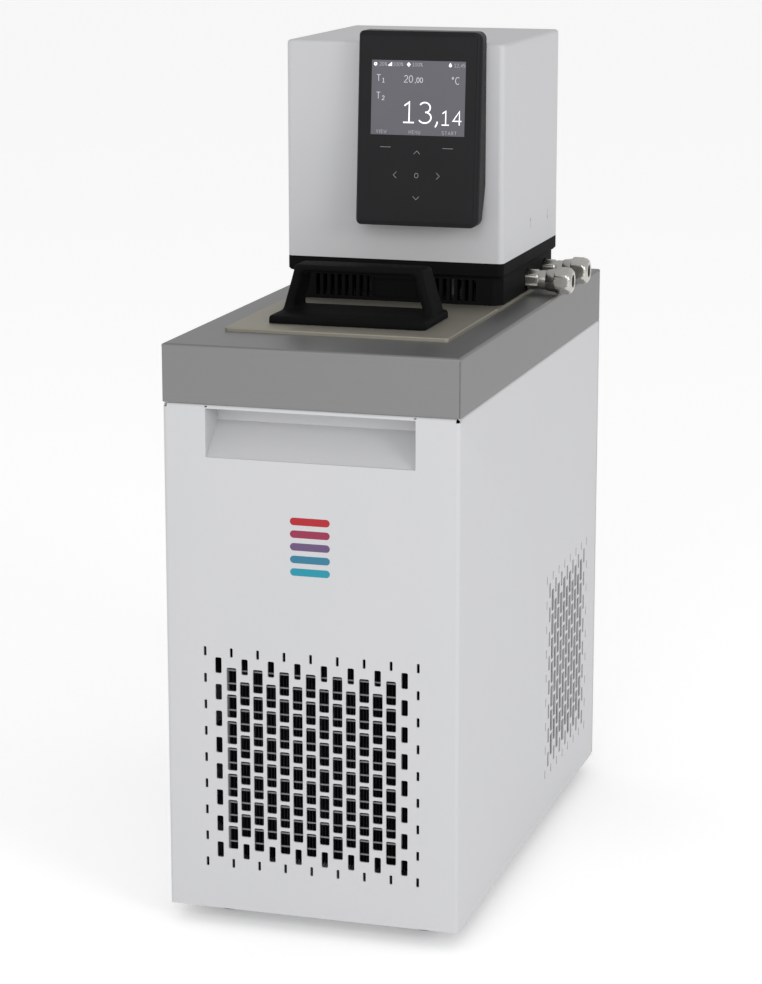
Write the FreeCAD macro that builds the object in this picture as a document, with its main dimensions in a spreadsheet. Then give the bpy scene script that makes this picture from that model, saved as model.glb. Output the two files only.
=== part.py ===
"""Refrigerated circulating bath: a slotted steel casing, a stainless bath and a circulator head.

Millimetres. +X is the user's right, +Y the back and +Z up. The pieces are placed about the middle of
the casing's footprint on the floor, and the written frame is moved under the middle of the whole outline.
"""
import FreeCAD, Part
import math
import os

import Sketcher

Vector = FreeCAD.Vector
Rotation = FreeCAD.Rotation
Placement = FreeCAD.Placement

# Driving dimensions in millimetres, with angles in degrees and counts as plain numbers
SIZES = {
    # Casing sheet and its bends
    "casing_width": 200.0,
    "casing_depth": 400.0,
    "casing_height": 343.0,
    "sheet_gauge": 1.2,
    "casing_bend": 3.0,
    "flange_bend": 2.5,
    "side_flange": 14.0,
    "corner_relief": 2.0,
    # Feet and base tray
    "foot_height": 12.0,
    "foot_radius": 13.0,
    "foot_taper": 1.5,
    "foot_inset_side": 31.0,
    "foot_inset_end": 40.0,
    "foot_recess_radius": 6.0,
    "foot_recess_depth": 6.0,
    "foot_screw_radius": 2.5,
    "tray_gauge": 1.5,
    "tray_wall": 16.0,
    "seat_gap": 0.2,
    # Grip recess in the front
    "grip_width": 141.0,
    "grip_floor": 308.0,
    "grip_rise": 20.5,
    "grip_depth": 24.0,
    "grip_strip": 2.9,
    # Slotted grilles
    "grille_centre_height": 105.0,
    "side_grille_centre": 305.0,
    "slot_pitch": 9.1,
    "slot_row_pitch": 18.2,
    "front_slot_columns": 17,
    "side_slot_columns": 15,
    "slot_rows": 9,
    "slot_small_width": 2.0,
    "slot_small_height": 6.3,
    "slot_medium_width": 4.5,
    "slot_medium_height": 10.8,
    "slot_large_width": 6.8,
    "slot_large_height": 16.0,
    # Bath rim, tank and insulation
    "rim_height": 38.4,
    "rim_gauge": 1.2,
    "rim_bend": 1.8,
    "rim_seam": 0.8,
    "bath_width": 130.0,
    "bath_length": 263.0,
    "bath_front": 65.0,
    "bath_depth": 150.0,
    "bath_corner": 15.0,
    "tank_gauge": 1.0,
    "tank_floor_bend": 8.0,
    "insulation_side": 14.0,
    "insulation_floor": 16.0,
    "foam_gap": 0.3,
    # Lid and its handle
    "lid_front": 55.0,
    "lid_width": 154.0,
    "lid_length": 124.5,
    "lid_thickness": 2.5,
    "lid_corner": 3.0,
    "lid_edge": 0.7,
    "handle_base_width": 105.0,
    "handle_base_front": 71.0,
    "handle_base_length": 79.0,
    "handle_base_thickness": 5.0,
    "handle_front": 20.0,
    "handle_lean": 13.0,
    "handle_depth": 41.0,
    "handle_rise": 31.0,
    "handle_taper": 1.5,
    "handle_foot_flare": 5.5,
    "handle_leg": 8.5,
    "handle_bar": 5.7,
    "handle_gap_corner": 6.0,
    "handle_top_corner": 2.5,
    "lid_screw_radius": 2.0,
    # Circulator pedestal and head
    "bridge_gap": 1.0,
    "bridge_thickness": 2.0,
    "head_front": 190.8,
    "head_width": 155.6,
    "head_depth": 159.6,
    "head_height": 149.6,
    "head_wall": 3.0,
    "head_corner": 4.0,
    "head_top_edge": 2.5,
    "pedestal_height": 19.6,
    "pedestal_inset_side": 1.8,
    "pedestal_inset_end": 3.2,
    "pedestal_corner": 6.0,
    "pedestal_wall": 4.5,
    "flange_height": 10.1,
    "flange_step": 1.5,
    "rib_pitch": 5.3,
    "rib_width": 2.4,
    "rib_slots": 8,
    "rib_slot_height": 14.8,
    "rib_sill": 2.6,
    "rib_field_inner": 18.0,
    "cover_plate_width": 32.0,
    "cover_plate_height": 13.0,
    "cover_plate_recess": 1.2,
    # Display unit
    "display_width": 87.0,
    "display_offset": 21.5,
    "display_rise": 8.3,
    "display_height": 131.0,
    "display_foot_depth": 22.3,
    "display_foot_length": 11.5,
    "display_chamfer_height": 27.5,
    "display_lean": 4.15,
    "display_corner": 5.0,
    "display_wall": 2.5,
    "foil_margin": 3.0,
    "foil_thickness": 0.8,
    "screen_width": 66.0,
    "screen_height": 50.2,
    "screen_thickness": 2.2,
    "screen_above_foot": 61.5,
    # Pump connectors on the right
    "supply_back": 69.0,
    "return_back": 120.0,
    "connector_height": 10.1,
    "connector_bore": 4.0,
    "connector_tail_radius": 6.0,
    "connector_tail_start": 58.0,
    "connector_collar_radius": 7.4,
    "connector_hex": 15.0,
    "connector_hex_start": 77.3,
    "connector_hex_end": 88.0,
    "thread_radius": 7.0,
    "thread_length": 11.0,
    "thread_clearance": 0.2,
    "nut_radius": 9.8,
    "nut_start": 90.0,
    "nut_length": 19.5,
    "nut_bore": 4.5,
    "nut_edge": 1.6,
    "connector_pocket_radius": 8.0,
    # Circulation pump in the bath
    "pump_rod_radius": 3.0,
    "pump_rod_circle": 24.0,
    "pump_housing_radius": 30.0,
    "pump_housing_height": 23.0,
    "pump_housing_wall": 3.0,
    "pump_drop": 108.4,
    "pump_intake_radius": 10.0,
    "impeller_radius": 23.0,
    "impeller_height": 10.0,
    "impeller_plate": 2.0,
    "impeller_hub_radius": 7.0,
    "impeller_vanes": 6,
    "vane_thickness": 1.6,
    "shaft_radius": 4.0,
    "shaft_clearance": 0.05,
    "bridge_shaft_hole": 7.0,
    "motor_radius": 32.0,
    "motor_height": 78.0,
    "motor_lift": 22.0,
    "motor_cap_radius": 22.0,
    "motor_cap_height": 12.0,
    "shaft_in_motor": 20.0,
    "bracket_plate": 3.0,
    "bracket_half": 36.0,
    "bracket_post_radius": 4.0,
    "bracket_post_inset": 6.0,
    "deck_opening": 56.0,
    # Pipes, coil and probes in the bath
    "pipe_radius": 5.0,
    "pipe_bore": 4.0,
    "pipe_bend": 9.0,
    "pipe_inset": 44.0,
    "return_drop": 75.0,
    "coil_tube_radius": 4.0,
    "coil_bend": 13.0,
    "coil_turns": 3,
    "coil_pitch": 12.0,
    "coil_left": 57.0,
    "coil_right": 34.0,
    "coil_front": -5.0,
    "coil_back": 114.0,
    "coil_drop": 57.4,
    "coil_lead_drop": 21.4,
    "coil_feed_side": 20.0,
    "coil_suction_side": 44.0,
    "heater_tube_radius": 4.0,
    "heater_half": 38.0,
    "heater_clear_floor": 8.0,
    "heater_leg_gap": 9.0,
    "probe_radius": 3.0,
    "probe_length": 110.0,
    "probe_side": 20.0,
    "probe_back": 15.0,
    "level_probe_side": 42.5,
    # Head electronics and rear panel
    "head_panel_recess": 0.4,
    "head_vent_slots": 9,
    "head_vent_width": 2.5,
    "head_vent_height": 26.0,
    "head_vent_pitch": 6.0,
    "board_width": 104.0,
    "board_height": 62.0,
    "board_thickness": 1.6,
    "board_post": 10.0,
    "board_post_radius": 3.0,
    "board_lift": 66.0,
    "inlet_side": 38.0,
    "inlet_lift": 26.0,
    "inlet_width": 28.0,
    "inlet_height": 22.0,
    "inlet_depth": 24.0,
    "inlet_lip": 3.0,
    "inlet_plate": 2.0,
    "inlet_well": 17.0,
    "rocker_side": 36.0,
    "rocker_width": 11.0,
    "rocker_length": 19.0,
    "rocker_wall": 1.6,
    "rocker_body_depth": 16.0,
    "rocker_gap": 0.6,
    "rocker_tilt": 10.0,
    "rocker_crest": 2.9,
    "rocker_root": 3.5,
    # Refrigeration set in the lower casing
    "compressor_side": -5.0,
    "compressor_back": 85.0,
    "compressor_radius": 54.0,
    "compressor_height": 142.0,
    "compressor_dome": 26.0,
    "compressor_seam": 2.0,
    "compressor_plate_width": 124.0,
    "compressor_plate_length": 116.0,
    "compressor_plate": 3.0,
    "mount_radius": 8.0,
    "mount_height": 14.0,
    "mount_inset": 11.0,
    "stub_radius": 4.0,
    "stub_length": 9.0,
    "relay_width": 34.0,
    "relay_height": 46.0,
    "relay_depth": 24.0,
    "condenser_half": 62.0,
    "condenser_front": 16.0,
    "condenser_depth": 40.0,
    "condenser_lift": 32.0,
    "condenser_height": 152.0,
    "end_plate_gauge": 1.2,
    "end_plate_margin": 5.0,
    "fin_pitch": 4.4,
    "fin_gauge": 1.4,
    "fin_root": 14.0,
    "bend_rows": 6,
    "bend_pitch": 25.0,
    "bend_tube_radius": 4.5,
    "shroud_gauge": 1.5,
    "shroud_half": 74.0,
    "shroud_ring_radius": 64.0,
    "shroud_ring_depth": 24.0,
    "fan_blade_radius": 61.0,
    "fan_hub_radius": 20.0,
    "fan_hub_depth": 24.0,
    "fan_blades": 5,
    "fan_blade_gauge": 2.0,
    "fan_blade_chord": 42.0,
    "fan_pitch_angle": 28.0,
    "fan_shaft_radius": 3.0,
    "fan_shaft_length": 12.0,
    "fan_motor_radius": 25.0,
    "fan_motor_depth": 38.0,
    "fan_motor_gap": 12.0,
    "fan_arm_width": 9.0,
    "fan_arm_gauge": 3.0,
    "line_radius": 3.0,
    "line_bend": 8.0,
    "line_side": 84.0,
    "drier_radius": 10.0,
    "drier_height": 80.0,
    "drier_back": -10.0,
    "drier_base": 88.0,
    "line_run_height": 185.0,
    "line_rise_back": 160.0,
    # Drain at the back
    "drain_side": 50.0,
    "drain_back": 100.0,
    "drain_run_height": 205.0,
    "drain_height": 45.0,
    "valve_width": 46.0,
    "valve_thickness": 20.0,
    "valve_depth": 20.0,
    "nozzle_radius": 5.0,
    "nozzle_length": 22.0,
    "nozzle_bore": 3.5,
    "nozzle_collar": 7.5,
    "nozzle_collar_step": 1.0,
    "knob_spacing": 24.0,
    "knob_radius": 10.0,
    "knob_depth": 11.0,
    "knob_gap": 0.6,
    "knob_lobes": 6,
    "knob_scallop": 2.6,
    "spindle_radius": 3.0,
    "spindle_clearance": 0.05,
    "spindle_reach": 10.0,
    # Screws
    "screw_radius": 1.9,
    "screw_head_radius": 3.6,
    "screw_head_height": 2.0,
    "screw_length": 7.0,
    "screw_inset": 7.0,
}

doc = FreeCAD.newDocument("circulating_bath")
dims = doc.addObject("Spreadsheet::Sheet", "Dims")
for row, (alias, value) in enumerate(SIZES.items(), start=1):
    dims.set(f"A{row}", alias)
    dims.set(f"B{row}", str(value))
    dims.setAlias(f"B{row}", alias)
doc.recompute()


class Size:
    """A length worked out from the sheet: its value, and the formula that keeps it tied to the cells."""

    def __init__(self, value, formula):
        self.value = value
        self.formula = formula

    def __float__(self):
        return self.value

    def joined(self, sign, other, value, swap=False):
        first, second = self.formula, formula_of(other)
        if swap:
            first, second = second, first
        return Size(value, f"({first} {sign} {second})")

    def __add__(self, other):
        return self.joined("+", other, self.value + float(other))

    def __radd__(self, other):
        return self + other

    def __sub__(self, other):
        return self.joined("-", other, self.value - float(other))

    def __rsub__(self, other):
        return self.joined("-", other, float(other) - self.value, swap=True)

    def __mul__(self, other):
        return self.joined("*", other, self.value * float(other))

    def __rmul__(self, other):
        return self * other

    def __truediv__(self, other):
        return self.joined("/", other, self.value / float(other))

    def __neg__(self):
        return Size(-self.value, f"(0 - {self.formula})")


class Sheet:
    """Gives each cell of the sheet by its alias."""

    def __getattr__(self, alias):
        return Size(float(dims.get(alias)), f"Dims.{alias}")


def formula_of(size):
    return size.formula if isinstance(size, Size) else repr(float(size))


def tangent(angle):
    return Size(math.tan(math.radians(float(angle))), f"tan({formula_of(angle)})")


def sine(angle):
    return Size(math.sin(math.radians(float(angle))), f"sin({formula_of(angle)})")


def cosine(angle):
    return Size(math.cos(math.radians(float(angle))), f"cos({formula_of(angle)})")


def bind(thing, **sizes):
    """Ties each named property to its formula, or sets it where it is a plain number."""
    for name, size in sizes.items():
        if isinstance(size, Size):
            thing.setExpression(name, size.formula)
        else:
            setattr(thing, name, size)
    return thing


def place(thing, x=0, y=0, z=0, axis=None, angle=0):
    """Puts a thing's own origin at x, y, z, turned about an axis."""
    if axis is not None:
        thing.Placement = Placement(Vector(), Rotation(axis, float(angle)))
        if isinstance(angle, Size):
            thing.setExpression("Placement.Rotation.Angle", angle.formula)
    for letter, size in zip("xyz", (x, y, z)):
        thing.setExpression(f"Placement.Base.{letter}", formula_of(size))
    return thing


X_AXIS = Vector(1, 0, 0)
Y_AXIS = Vector(0, 1, 0)
Z_AXIS = Vector(0, 0, 1)
# A cylinder stands along +Z. These turns lay it along +X or +Y
TURNS = {"X": (Y_AXIS, 90), "Y": (X_AXIS, -90), "Z": (None, 0)}

s = Sheet()
nodes = []


def node(thing, label):
    """Names a finished sub-part, which is written to a file of that name."""
    thing.Label = label
    nodes.append(thing)
    return thing


def box(name, low, size):
    """A box from its low corner and its three sizes."""
    solid = doc.addObject("Part::Box", name)
    bind(solid, Length=size[0], Width=size[1], Height=size[2])
    return place(solid, *low)


def rod(name, base, radius, length, along="Z"):
    """A cylinder from the centre of its base, along one axis."""
    solid = doc.addObject("Part::Cylinder", name)
    bind(solid, Radius=radius, Height=length)
    axis, angle = TURNS[along]
    return place(solid, *base, axis=axis, angle=angle)


def fused(name, *solids):
    whole = doc.addObject("Part::MultiFuse", name)
    whole.Shapes = list(solids)
    whole.Refine = True
    return whole


def cut(name, solid, *tools):
    """Takes the tools away from a solid."""
    result = doc.addObject("Part::Cut", name)
    result.Base = solid
    result.Tool = tools[0] if len(tools) == 1 else fused(name + "_tools", *tools)
    return result


def feature(name, shape):
    """A sub-part whose shape is worked out here from the sheet's sizes."""
    thing = doc.addObject("Part::Feature", name)
    thing.Shape = shape
    return thing


def group(name, solids):
    """Like pieces kept as separate solids in one sub-part."""
    whole = doc.addObject("Part::Compound", name)
    whole.Links = solids
    return whole


def body(name):
    return doc.addObject("PartDesign::Body", name)


def block(part, low, size, cutting=False):
    """Adds a box to a body, or takes one away from it."""
    kind = "SubtractiveBox" if cutting else "AdditiveBox"
    solid = part.newObject("PartDesign::" + kind, part.Name + "_" + kind)
    bind(solid, Length=size[0], Width=size[1], Height=size[2])
    return place(solid, *low)


def bored(part, base, radius, length, along="Z"):
    """Takes a round hole out of a body."""
    hole = part.newObject("PartDesign::SubtractiveCylinder", part.Name + "_hole")
    bind(hole, Radius=radius, Height=length)
    axis, angle = TURNS[along]
    return place(hole, *base, axis=axis, angle=angle)


def profile(part, plane, corners):
    """A closed sketch on one of a body's planes, each corner tied to its two sizes."""
    sketch = part.newObject("Sketcher::SketchObject", part.Name + "_sketch")
    sketch.AttachmentSupport = [(f, "") for f in part.Origin.OriginFeatures if f.Role == plane]
    sketch.MapMode = "FlatFace"
    spots = [Vector(float(u), float(v), 0) for u, v in corners]
    for here, there in zip(spots, spots[1:] + spots[:1]):
        sketch.addGeometry(Part.LineSegment(here, there))
    for line, (u, v) in enumerate(corners):
        after = (line + 1) % len(corners)
        sketch.addConstraint(Sketcher.Constraint("Coincident", line, 2, after, 1))
        for kind, size in (("DistanceX", u), ("DistanceY", v)):
            tie = sketch.addConstraint(Sketcher.Constraint(kind, -1, 1, line, 1, float(size)))
            if isinstance(size, Size):
                sketch.renameConstraint(tie, f"{kind}{line}")
                sketch.setExpression(f"Constraints.{kind}{line}", size.formula)
    return sketch


def pad(part, plane, corners, length, reverse=False, middle=False):
    """Extrudes a profile."""
    sketch = profile(part, plane, corners)
    solid = part.newObject("PartDesign::Pad", part.Name + "_pad")
    solid.Profile = sketch
    solid.Reversed = reverse
    solid.Midplane = middle
    return bind(solid, Length=length)


def pocket(part, plane, corners, length, middle=True):
    """Cuts a profile through a body, both ways from its plane."""
    sketch = profile(part, plane, corners)
    hollow = part.newObject("PartDesign::Pocket", part.Name + "_pocket")
    hollow.Profile = sketch
    hollow.Midplane = middle
    return bind(hollow, Length=length)


def turned(part, corners):
    """Revolves a profile of radius and height about the body's Z axis."""
    sketch = profile(part, "XZ_Plane", corners)
    solid = part.newObject("PartDesign::Revolution", part.Name + "_turned")
    solid.Profile = sketch
    solid.ReferenceAxis = (sketch, ["V_Axis"])
    solid.Angle = 360
    return solid


def flat(edge_or_face, axis):
    """Where an edge or face lies square to an axis, its place on that axis, or else None."""
    low, high = edge_or_face.BoundBox.XMin, edge_or_face.BoundBox.XMax
    if axis == "Y":
        low, high = edge_or_face.BoundBox.YMin, edge_or_face.BoundBox.YMax
    if axis == "Z":
        low, high = edge_or_face.BoundBox.ZMin, edge_or_face.BoundBox.ZMax
    return low if high - low < 1e-4 else None


def near(place_found, size):
    return place_found is not None and abs(place_found - float(size)) < 1e-3


def upright(edge):
    """Whether an edge stands straight up."""
    return flat(edge, "X") is not None and flat(edge, "Y") is not None


def names_of(shape, kind, wanted):
    """The names of a shape's edges or faces that pass a test."""
    pieces = shape.Edges if kind == "Edge" else shape.Faces
    return [f"{kind}{number}" for number, piece in enumerate(pieces, start=1) if wanted(piece)]


def rounded(part, radius, wanted):
    """Fillets a body's edges that pass a test."""
    doc.recompute()
    tip = part.Tip
    fillet = part.newObject("PartDesign::Fillet", part.Name + "_fillet")
    fillet.Base = (tip, names_of(tip.Shape, "Edge", wanted))
    return bind(fillet, Radius=radius)


def bevelled(part, width, wanted):
    """Chamfers a body's edges that pass a test."""
    doc.recompute()
    tip = part.Tip
    bevel = part.newObject("PartDesign::Chamfer", part.Name + "_bevel")
    bevel.Base = (tip, names_of(tip.Shape, "Edge", wanted))
    return bind(bevel, Size=width)


def hollowed(part, wall, open_faces, inwards=True):
    """Turns a body into a sheet of one thickness, open at the faces that pass a test."""
    doc.recompute()
    tip = part.Tip
    sheet = part.newObject("PartDesign::Thickness", part.Name + "_sheet")
    sheet.Base = (tip, names_of(tip.Shape, "Face", open_faces))
    sheet.Reversed = inwards
    sheet.Join = "Arc" if inwards else "Intersection"
    return bind(sheet, Value=wall)


def route(points, bend):
    """A wire of straight runs joined by tangent arcs."""
    spots = [Vector(*(float(c) for c in point)) for point in points]
    edges = []
    start = spots[0]
    for before, corner, after in zip(spots, spots[1:], spots[2:]):
        into = (corner - before).normalize()
        away = (after - corner).normalize()
        turn = into.getAngle(away)
        reach = float(bend) * math.tan(turn / 2)
        arc_start = corner - into * reach
        arc_end = corner + away * reach
        towards = (away - into).normalize()
        middle = corner + towards * (float(bend) / math.cos(turn / 2) - float(bend))
        edges.append(Part.LineSegment(start, arc_start).toShape())
        edges.append(Part.Arc(arc_start, middle, arc_end).toShape())
        start = arc_end
    edges.append(Part.LineSegment(start, spots[-1]).toShape())
    return Part.Wire(edges)


def tube(points, bend, radius, bore=None):
    """A bent tube along a route, solid where no bore is given."""
    path = route(points, bend)
    start = path.Vertexes[0].Point
    heading = path.Edges[0].tangentAt(path.Edges[0].FirstParameter)

    def swept(size):
        ring = Part.Wire(Part.makeCircle(float(size), start, heading))
        return path.makePipeShell([ring], True, True)

    solid = swept(radius)
    return solid if bore is None else solid.cut(swept(bore))


# Levels and faces that several pieces share
half_width = s.casing_width / 2
front = -s.casing_depth / 2
back = s.casing_depth / 2
casing_top = s.foot_height + s.casing_height
rim_top = casing_top + s.rim_height
rim_underside = rim_top - s.rim_gauge
tray_floor = s.foot_height + s.tray_gauge
panel_face = back - s.sheet_gauge
grille_middle = s.foot_height + s.grille_centre_height
bath_start = front + s.bath_front
bath_end = bath_start + s.bath_length
tank_bottom = rim_underside - s.bath_depth - s.tank_gauge
foam_bottom = tank_bottom - s.foam_gap - s.insulation_floor
lid_start = front + s.lid_front
lid_top = rim_top + s.lid_thickness
bridge_start = lid_start + s.lid_length + s.bridge_gap
bridge_top = rim_top + s.bridge_thickness
head_start = front + s.head_front
head_end = head_start + s.head_depth
pedestal_top = bridge_top + s.pedestal_height
head_base = pedestal_top + s.flange_height
head_top = head_base + s.head_height
connector_level = rim_top + s.connector_height
pump_back = s.supply_back


def make_casing():
    """One sheet folded round the front and both sides, with flanges turned in at its top and back."""
    shell = body("casing_shell")
    block(shell, (-half_width, front, s.foot_height), (s.casing_width, s.casing_depth - s.sheet_gauge,
                                                       s.casing_height))
    rounded(shell, s.casing_bend, lambda e: upright(e) and near(flat(e, "Y"), front))
    rounded(shell, s.flange_bend, lambda e: near(flat(e, "Z"), casing_top)
            and not near(flat(e, "Y"), panel_face))
    hollowed(shell, s.sheet_gauge, lambda f: near(flat(f, "Z"), s.foot_height))
    flange_front = s.grip_depth + s.side_flange / 2
    block(shell, (s.side_flange - half_width, front + flange_front, casing_top - s.side_flange),
          (s.casing_width - 2 * s.side_flange, s.casing_depth, 2 * s.side_flange), cutting=True)
    block(shell, (s.side_flange - half_width, panel_face - s.side_flange, 0),
          (s.casing_width - 2 * s.side_flange, 2 * s.side_flange, casing_top * 2), cutting=True)
    mouth = s.casing_height - s.grip_floor - s.grip_strip
    block(shell, (-s.grip_width / 2, front - s.grip_depth / 2, s.foot_height + s.grip_floor),
          (s.grip_width, s.grip_depth / 2 + s.sheet_gauge + s.corner_relief, mouth), cutting=True)
    for side in (-half_width, half_width - s.corner_relief):
        block(shell, (side, front, casing_top - s.corner_relief),
              (s.corner_relief, s.corner_relief, s.corner_relief), cutting=True)
    casing = cut("casing", shell, feature("slots", Part.makeCompound(grille_slots())))
    return node(casing, "casing_wrap")


def slot_field(columns):
    """Places and sizes of a grille's slots: staggered columns, smaller towards the field's edge."""
    rows = int(s.slot_rows.value)
    small = (s.slot_small_width, s.slot_small_height)
    medium = (s.slot_medium_width, s.slot_medium_height)
    large = (s.slot_large_width, s.slot_large_height)
    for column in range(columns):
        count = rows - column % 2
        edge = min(column, columns - 1 - column)
        for number in range(count):
            size = large
            if number in (0, count - 1):
                size = medium if column % 2 else small
            if edge == 1:
                size = medium
            if edge == 0:
                size = small
            across = (column - (columns - 1) / 2) * s.slot_pitch
            up = grille_middle + (number - (count - 1) / 2) * s.slot_row_pitch
            yield float(across), float(up), float(size[0]), float(size[1])


def grille_slots():
    """The slots of the front grille, and those that go through both sides."""
    slots = []
    depth = float(s.casing_bend)
    for across, up, wide, tall in slot_field(int(s.front_slot_columns.value)):
        low = Vector(across - wide / 2, float(front) - depth / 2, up - tall / 2)
        slots.append(Part.makeBox(wide, depth, tall, low))
    side_middle = float(front + s.side_grille_centre)
    for across, up, wide, tall in slot_field(int(s.side_slot_columns.value)):
        low = Vector(-float(half_width) - depth / 2, side_middle + across - wide / 2, up - tall / 2)
        slots.append(Part.makeBox(float(s.casing_width) + depth, wide, tall, low))
    for x, z in panel_screw_spots():
        slots.append(Part.makeCylinder(float(s.screw_radius + s.seat_gap), float(s.screw_length),
                                       Vector(float(x), float(back - s.screw_length), float(z)), Y_AXIS))
    return slots


def panel_screw_spots():
    """Where the screws go through the rear panel and the flanges behind it."""
    inset = half_width - s.screw_inset
    heights = (s.foot_height + 3 * s.screw_inset, s.foot_height + s.casing_height / 2,
               casing_top - 2 * s.screw_inset)
    return [(side * inset, z) for side in (-1, 1) for z in heights]


def make_grip_recess():
    """Folded tray behind the mouth in the front, with a sloping floor for the fingers."""
    tray = body("grip_tray")
    mouth = front + s.sheet_gauge
    floor = s.foot_height + s.grip_floor
    wall = front + s.grip_depth
    top = casing_top - s.flange_bend
    pad(tray, "YZ_Plane", [(mouth, floor), (wall, floor + s.grip_rise), (wall, top), (mouth, top)],
        s.grip_width, middle=True)
    hollowed(tray, s.sheet_gauge, lambda f: near(flat(f, "Y"), mouth) or near(flat(f, "Z"), top),
             inwards=False)
    return node(tray, "grip_recess")


def make_rear_panel():
    """Flat sheet screwed to the casing's rear flanges, with the drain's two holes."""
    panel = body("rear_sheet")
    block(panel, (-half_width, panel_face, s.foot_height), (s.casing_width, s.sheet_gauge, s.casing_height))
    rounded(panel, s.sheet_gauge, lambda e: flat(e, "X") is not None and flat(e, "Z") is not None)
    for side, radius in ((s.drain_side, s.nozzle_collar), (s.drain_side + s.knob_spacing, s.spindle_radius)):
        bored(panel, (side, panel_face - s.sheet_gauge, s.drain_height), radius + s.spindle_clearance,
              3 * s.sheet_gauge, "Y")
    for x, z in panel_screw_spots():
        bored(panel, (x, panel_face - s.sheet_gauge, z), s.screw_radius + s.seat_gap, 3 * s.sheet_gauge, "Y")
    return node(panel, "rear_panel")


def make_base():
    """Tray that carries the machine, with four rubber feet screwed under it."""
    reach = half_width - s.sheet_gauge - s.seat_gap
    tray = body("tray")
    block(tray, (-reach, s.sheet_gauge + s.seat_gap + front, s.foot_height),
          (2 * reach, s.casing_depth - 3 * s.sheet_gauge - 2 * s.seat_gap, s.tray_wall))
    rounded(tray, s.casing_bend, lambda e: upright(e) and e.BoundBox.YMax < 0)
    hollowed(tray, s.tray_gauge, lambda f: near(flat(f, "Z"), s.foot_height + s.tray_wall))
    foot_x = half_width - s.foot_inset_side
    foot_y = back - s.foot_inset_end
    spots = {"front_left": (-foot_x, -foot_y), "front_right": (foot_x, -foot_y),
             "rear_left": (-foot_x, foot_y), "rear_right": (foot_x, foot_y)}
    for x, y in spots.values():
        bored(tray, (x, y, s.foot_height / 2), s.foot_screw_radius + s.seat_gap, s.foot_height)
    node(tray, "base_tray")
    for label, (x, y) in spots.items():
        foot = body("foot_" + label)
        turned(foot, [(s.foot_screw_radius + s.seat_gap, s.foot_recess_depth),
                      (s.foot_recess_radius, s.foot_recess_depth), (s.foot_recess_radius, 0),
                      (s.foot_radius - s.foot_taper, 0), (s.foot_radius, s.foot_height),
                      (s.foot_screw_radius + s.seat_gap, s.foot_height)])
        node(place(foot, x, y, 0), "foot_" + label)
    screws = []
    for label, (x, y) in spots.items():
        head = rod("foot_screw_head_" + label, (x, y, s.foot_recess_depth - s.screw_head_height),
                   s.foot_recess_radius - s.foot_taper, s.screw_head_height)
        shank = rod("foot_screw_shank_" + label, (x, y, s.foot_recess_depth), s.foot_screw_radius,
                    tray_floor - s.foot_recess_depth)
        screws.append(fused("foot_screw_" + label, head, shank))
    node(group("foot_screw_set", screws), "foot_screws")


def make_bath():
    """Stainless rim with its apron, the drawn tank welded under it and the foam round the tank."""
    rim = body("rim")
    block(rim, (-half_width, front, casing_top), (s.casing_width, s.casing_depth, s.rim_height))
    rounded(rim, s.rim_bend, lambda e: near(flat(e, "Z"), rim_top))
    hollowed(rim, s.rim_gauge, lambda f: near(flat(f, "Z"), casing_top))
    block(rim, (-s.bath_width / 2, bath_start, casing_top), (s.bath_width, s.bath_length, 2 * s.rim_height),
          cutting=True)
    rounded(rim, s.bath_corner, lambda e: upright(e) and abs(e.Vertexes[0].X) < float(s.bath_width) * 0.51
            and e.BoundBox.ZMin > float(rim_underside) - 0.01)
    for x in (-half_width, half_width - s.rim_seam):
        for y in (front, back - s.rim_seam):
            block(rim, (x, y, casing_top), (s.rim_seam, s.rim_seam, s.rim_height - s.rim_bend), cutting=True)
    node(rim, "bath_rim")

    tank = body("tank")
    outer = s.tank_gauge
    block(tank, (-s.bath_width / 2 - outer, bath_start - outer, tank_bottom),
          (s.bath_width + 2 * outer, s.bath_length + 2 * outer, rim_underside - tank_bottom))
    rounded(tank, s.bath_corner + s.tank_gauge, upright)
    rounded(tank, s.tank_floor_bend, lambda e: near(flat(e, "Z"), tank_bottom))
    hollowed(tank, s.tank_gauge, lambda f: near(flat(f, "Z"), rim_underside))
    bored(tank, (s.drain_side, s.drain_back, tank_bottom - outer), s.pipe_bore, 3 * outer)
    for side in (s.coil_feed_side, s.coil_suction_side):
        bored(tank, (-side, bath_end - outer, rim_top - s.coil_lead_drop), s.coil_tube_radius + s.seat_gap,
              3 * outer, "Y")
    node(tank, "bath_tank")

    foam = body("foam")
    inner = outer + s.foam_gap
    side = inner + s.insulation_side
    block(foam, (-s.bath_width / 2 - side, bath_start - side, foam_bottom),
          (s.bath_width + 2 * side, s.bath_length + 2 * side, rim_underside - foam_bottom))
    block(foam, (-s.bath_width / 2 - inner, bath_start - inner, tank_bottom - s.foam_gap),
          (s.bath_width + 2 * inner, s.bath_length + 2 * inner, s.bath_depth * 2), cutting=True)
    bored(foam, (s.drain_side, s.drain_back, foam_bottom - outer), s.pipe_radius + s.seat_gap,
          s.insulation_floor * 2)
    for lead in (s.coil_feed_side, s.coil_suction_side):
        bored(foam, (-lead, bath_end, rim_top - s.coil_lead_drop), s.coil_tube_radius + s.seat_gap,
              side * 2, "Y")
    node(foam, "tank_insulation")


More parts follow.
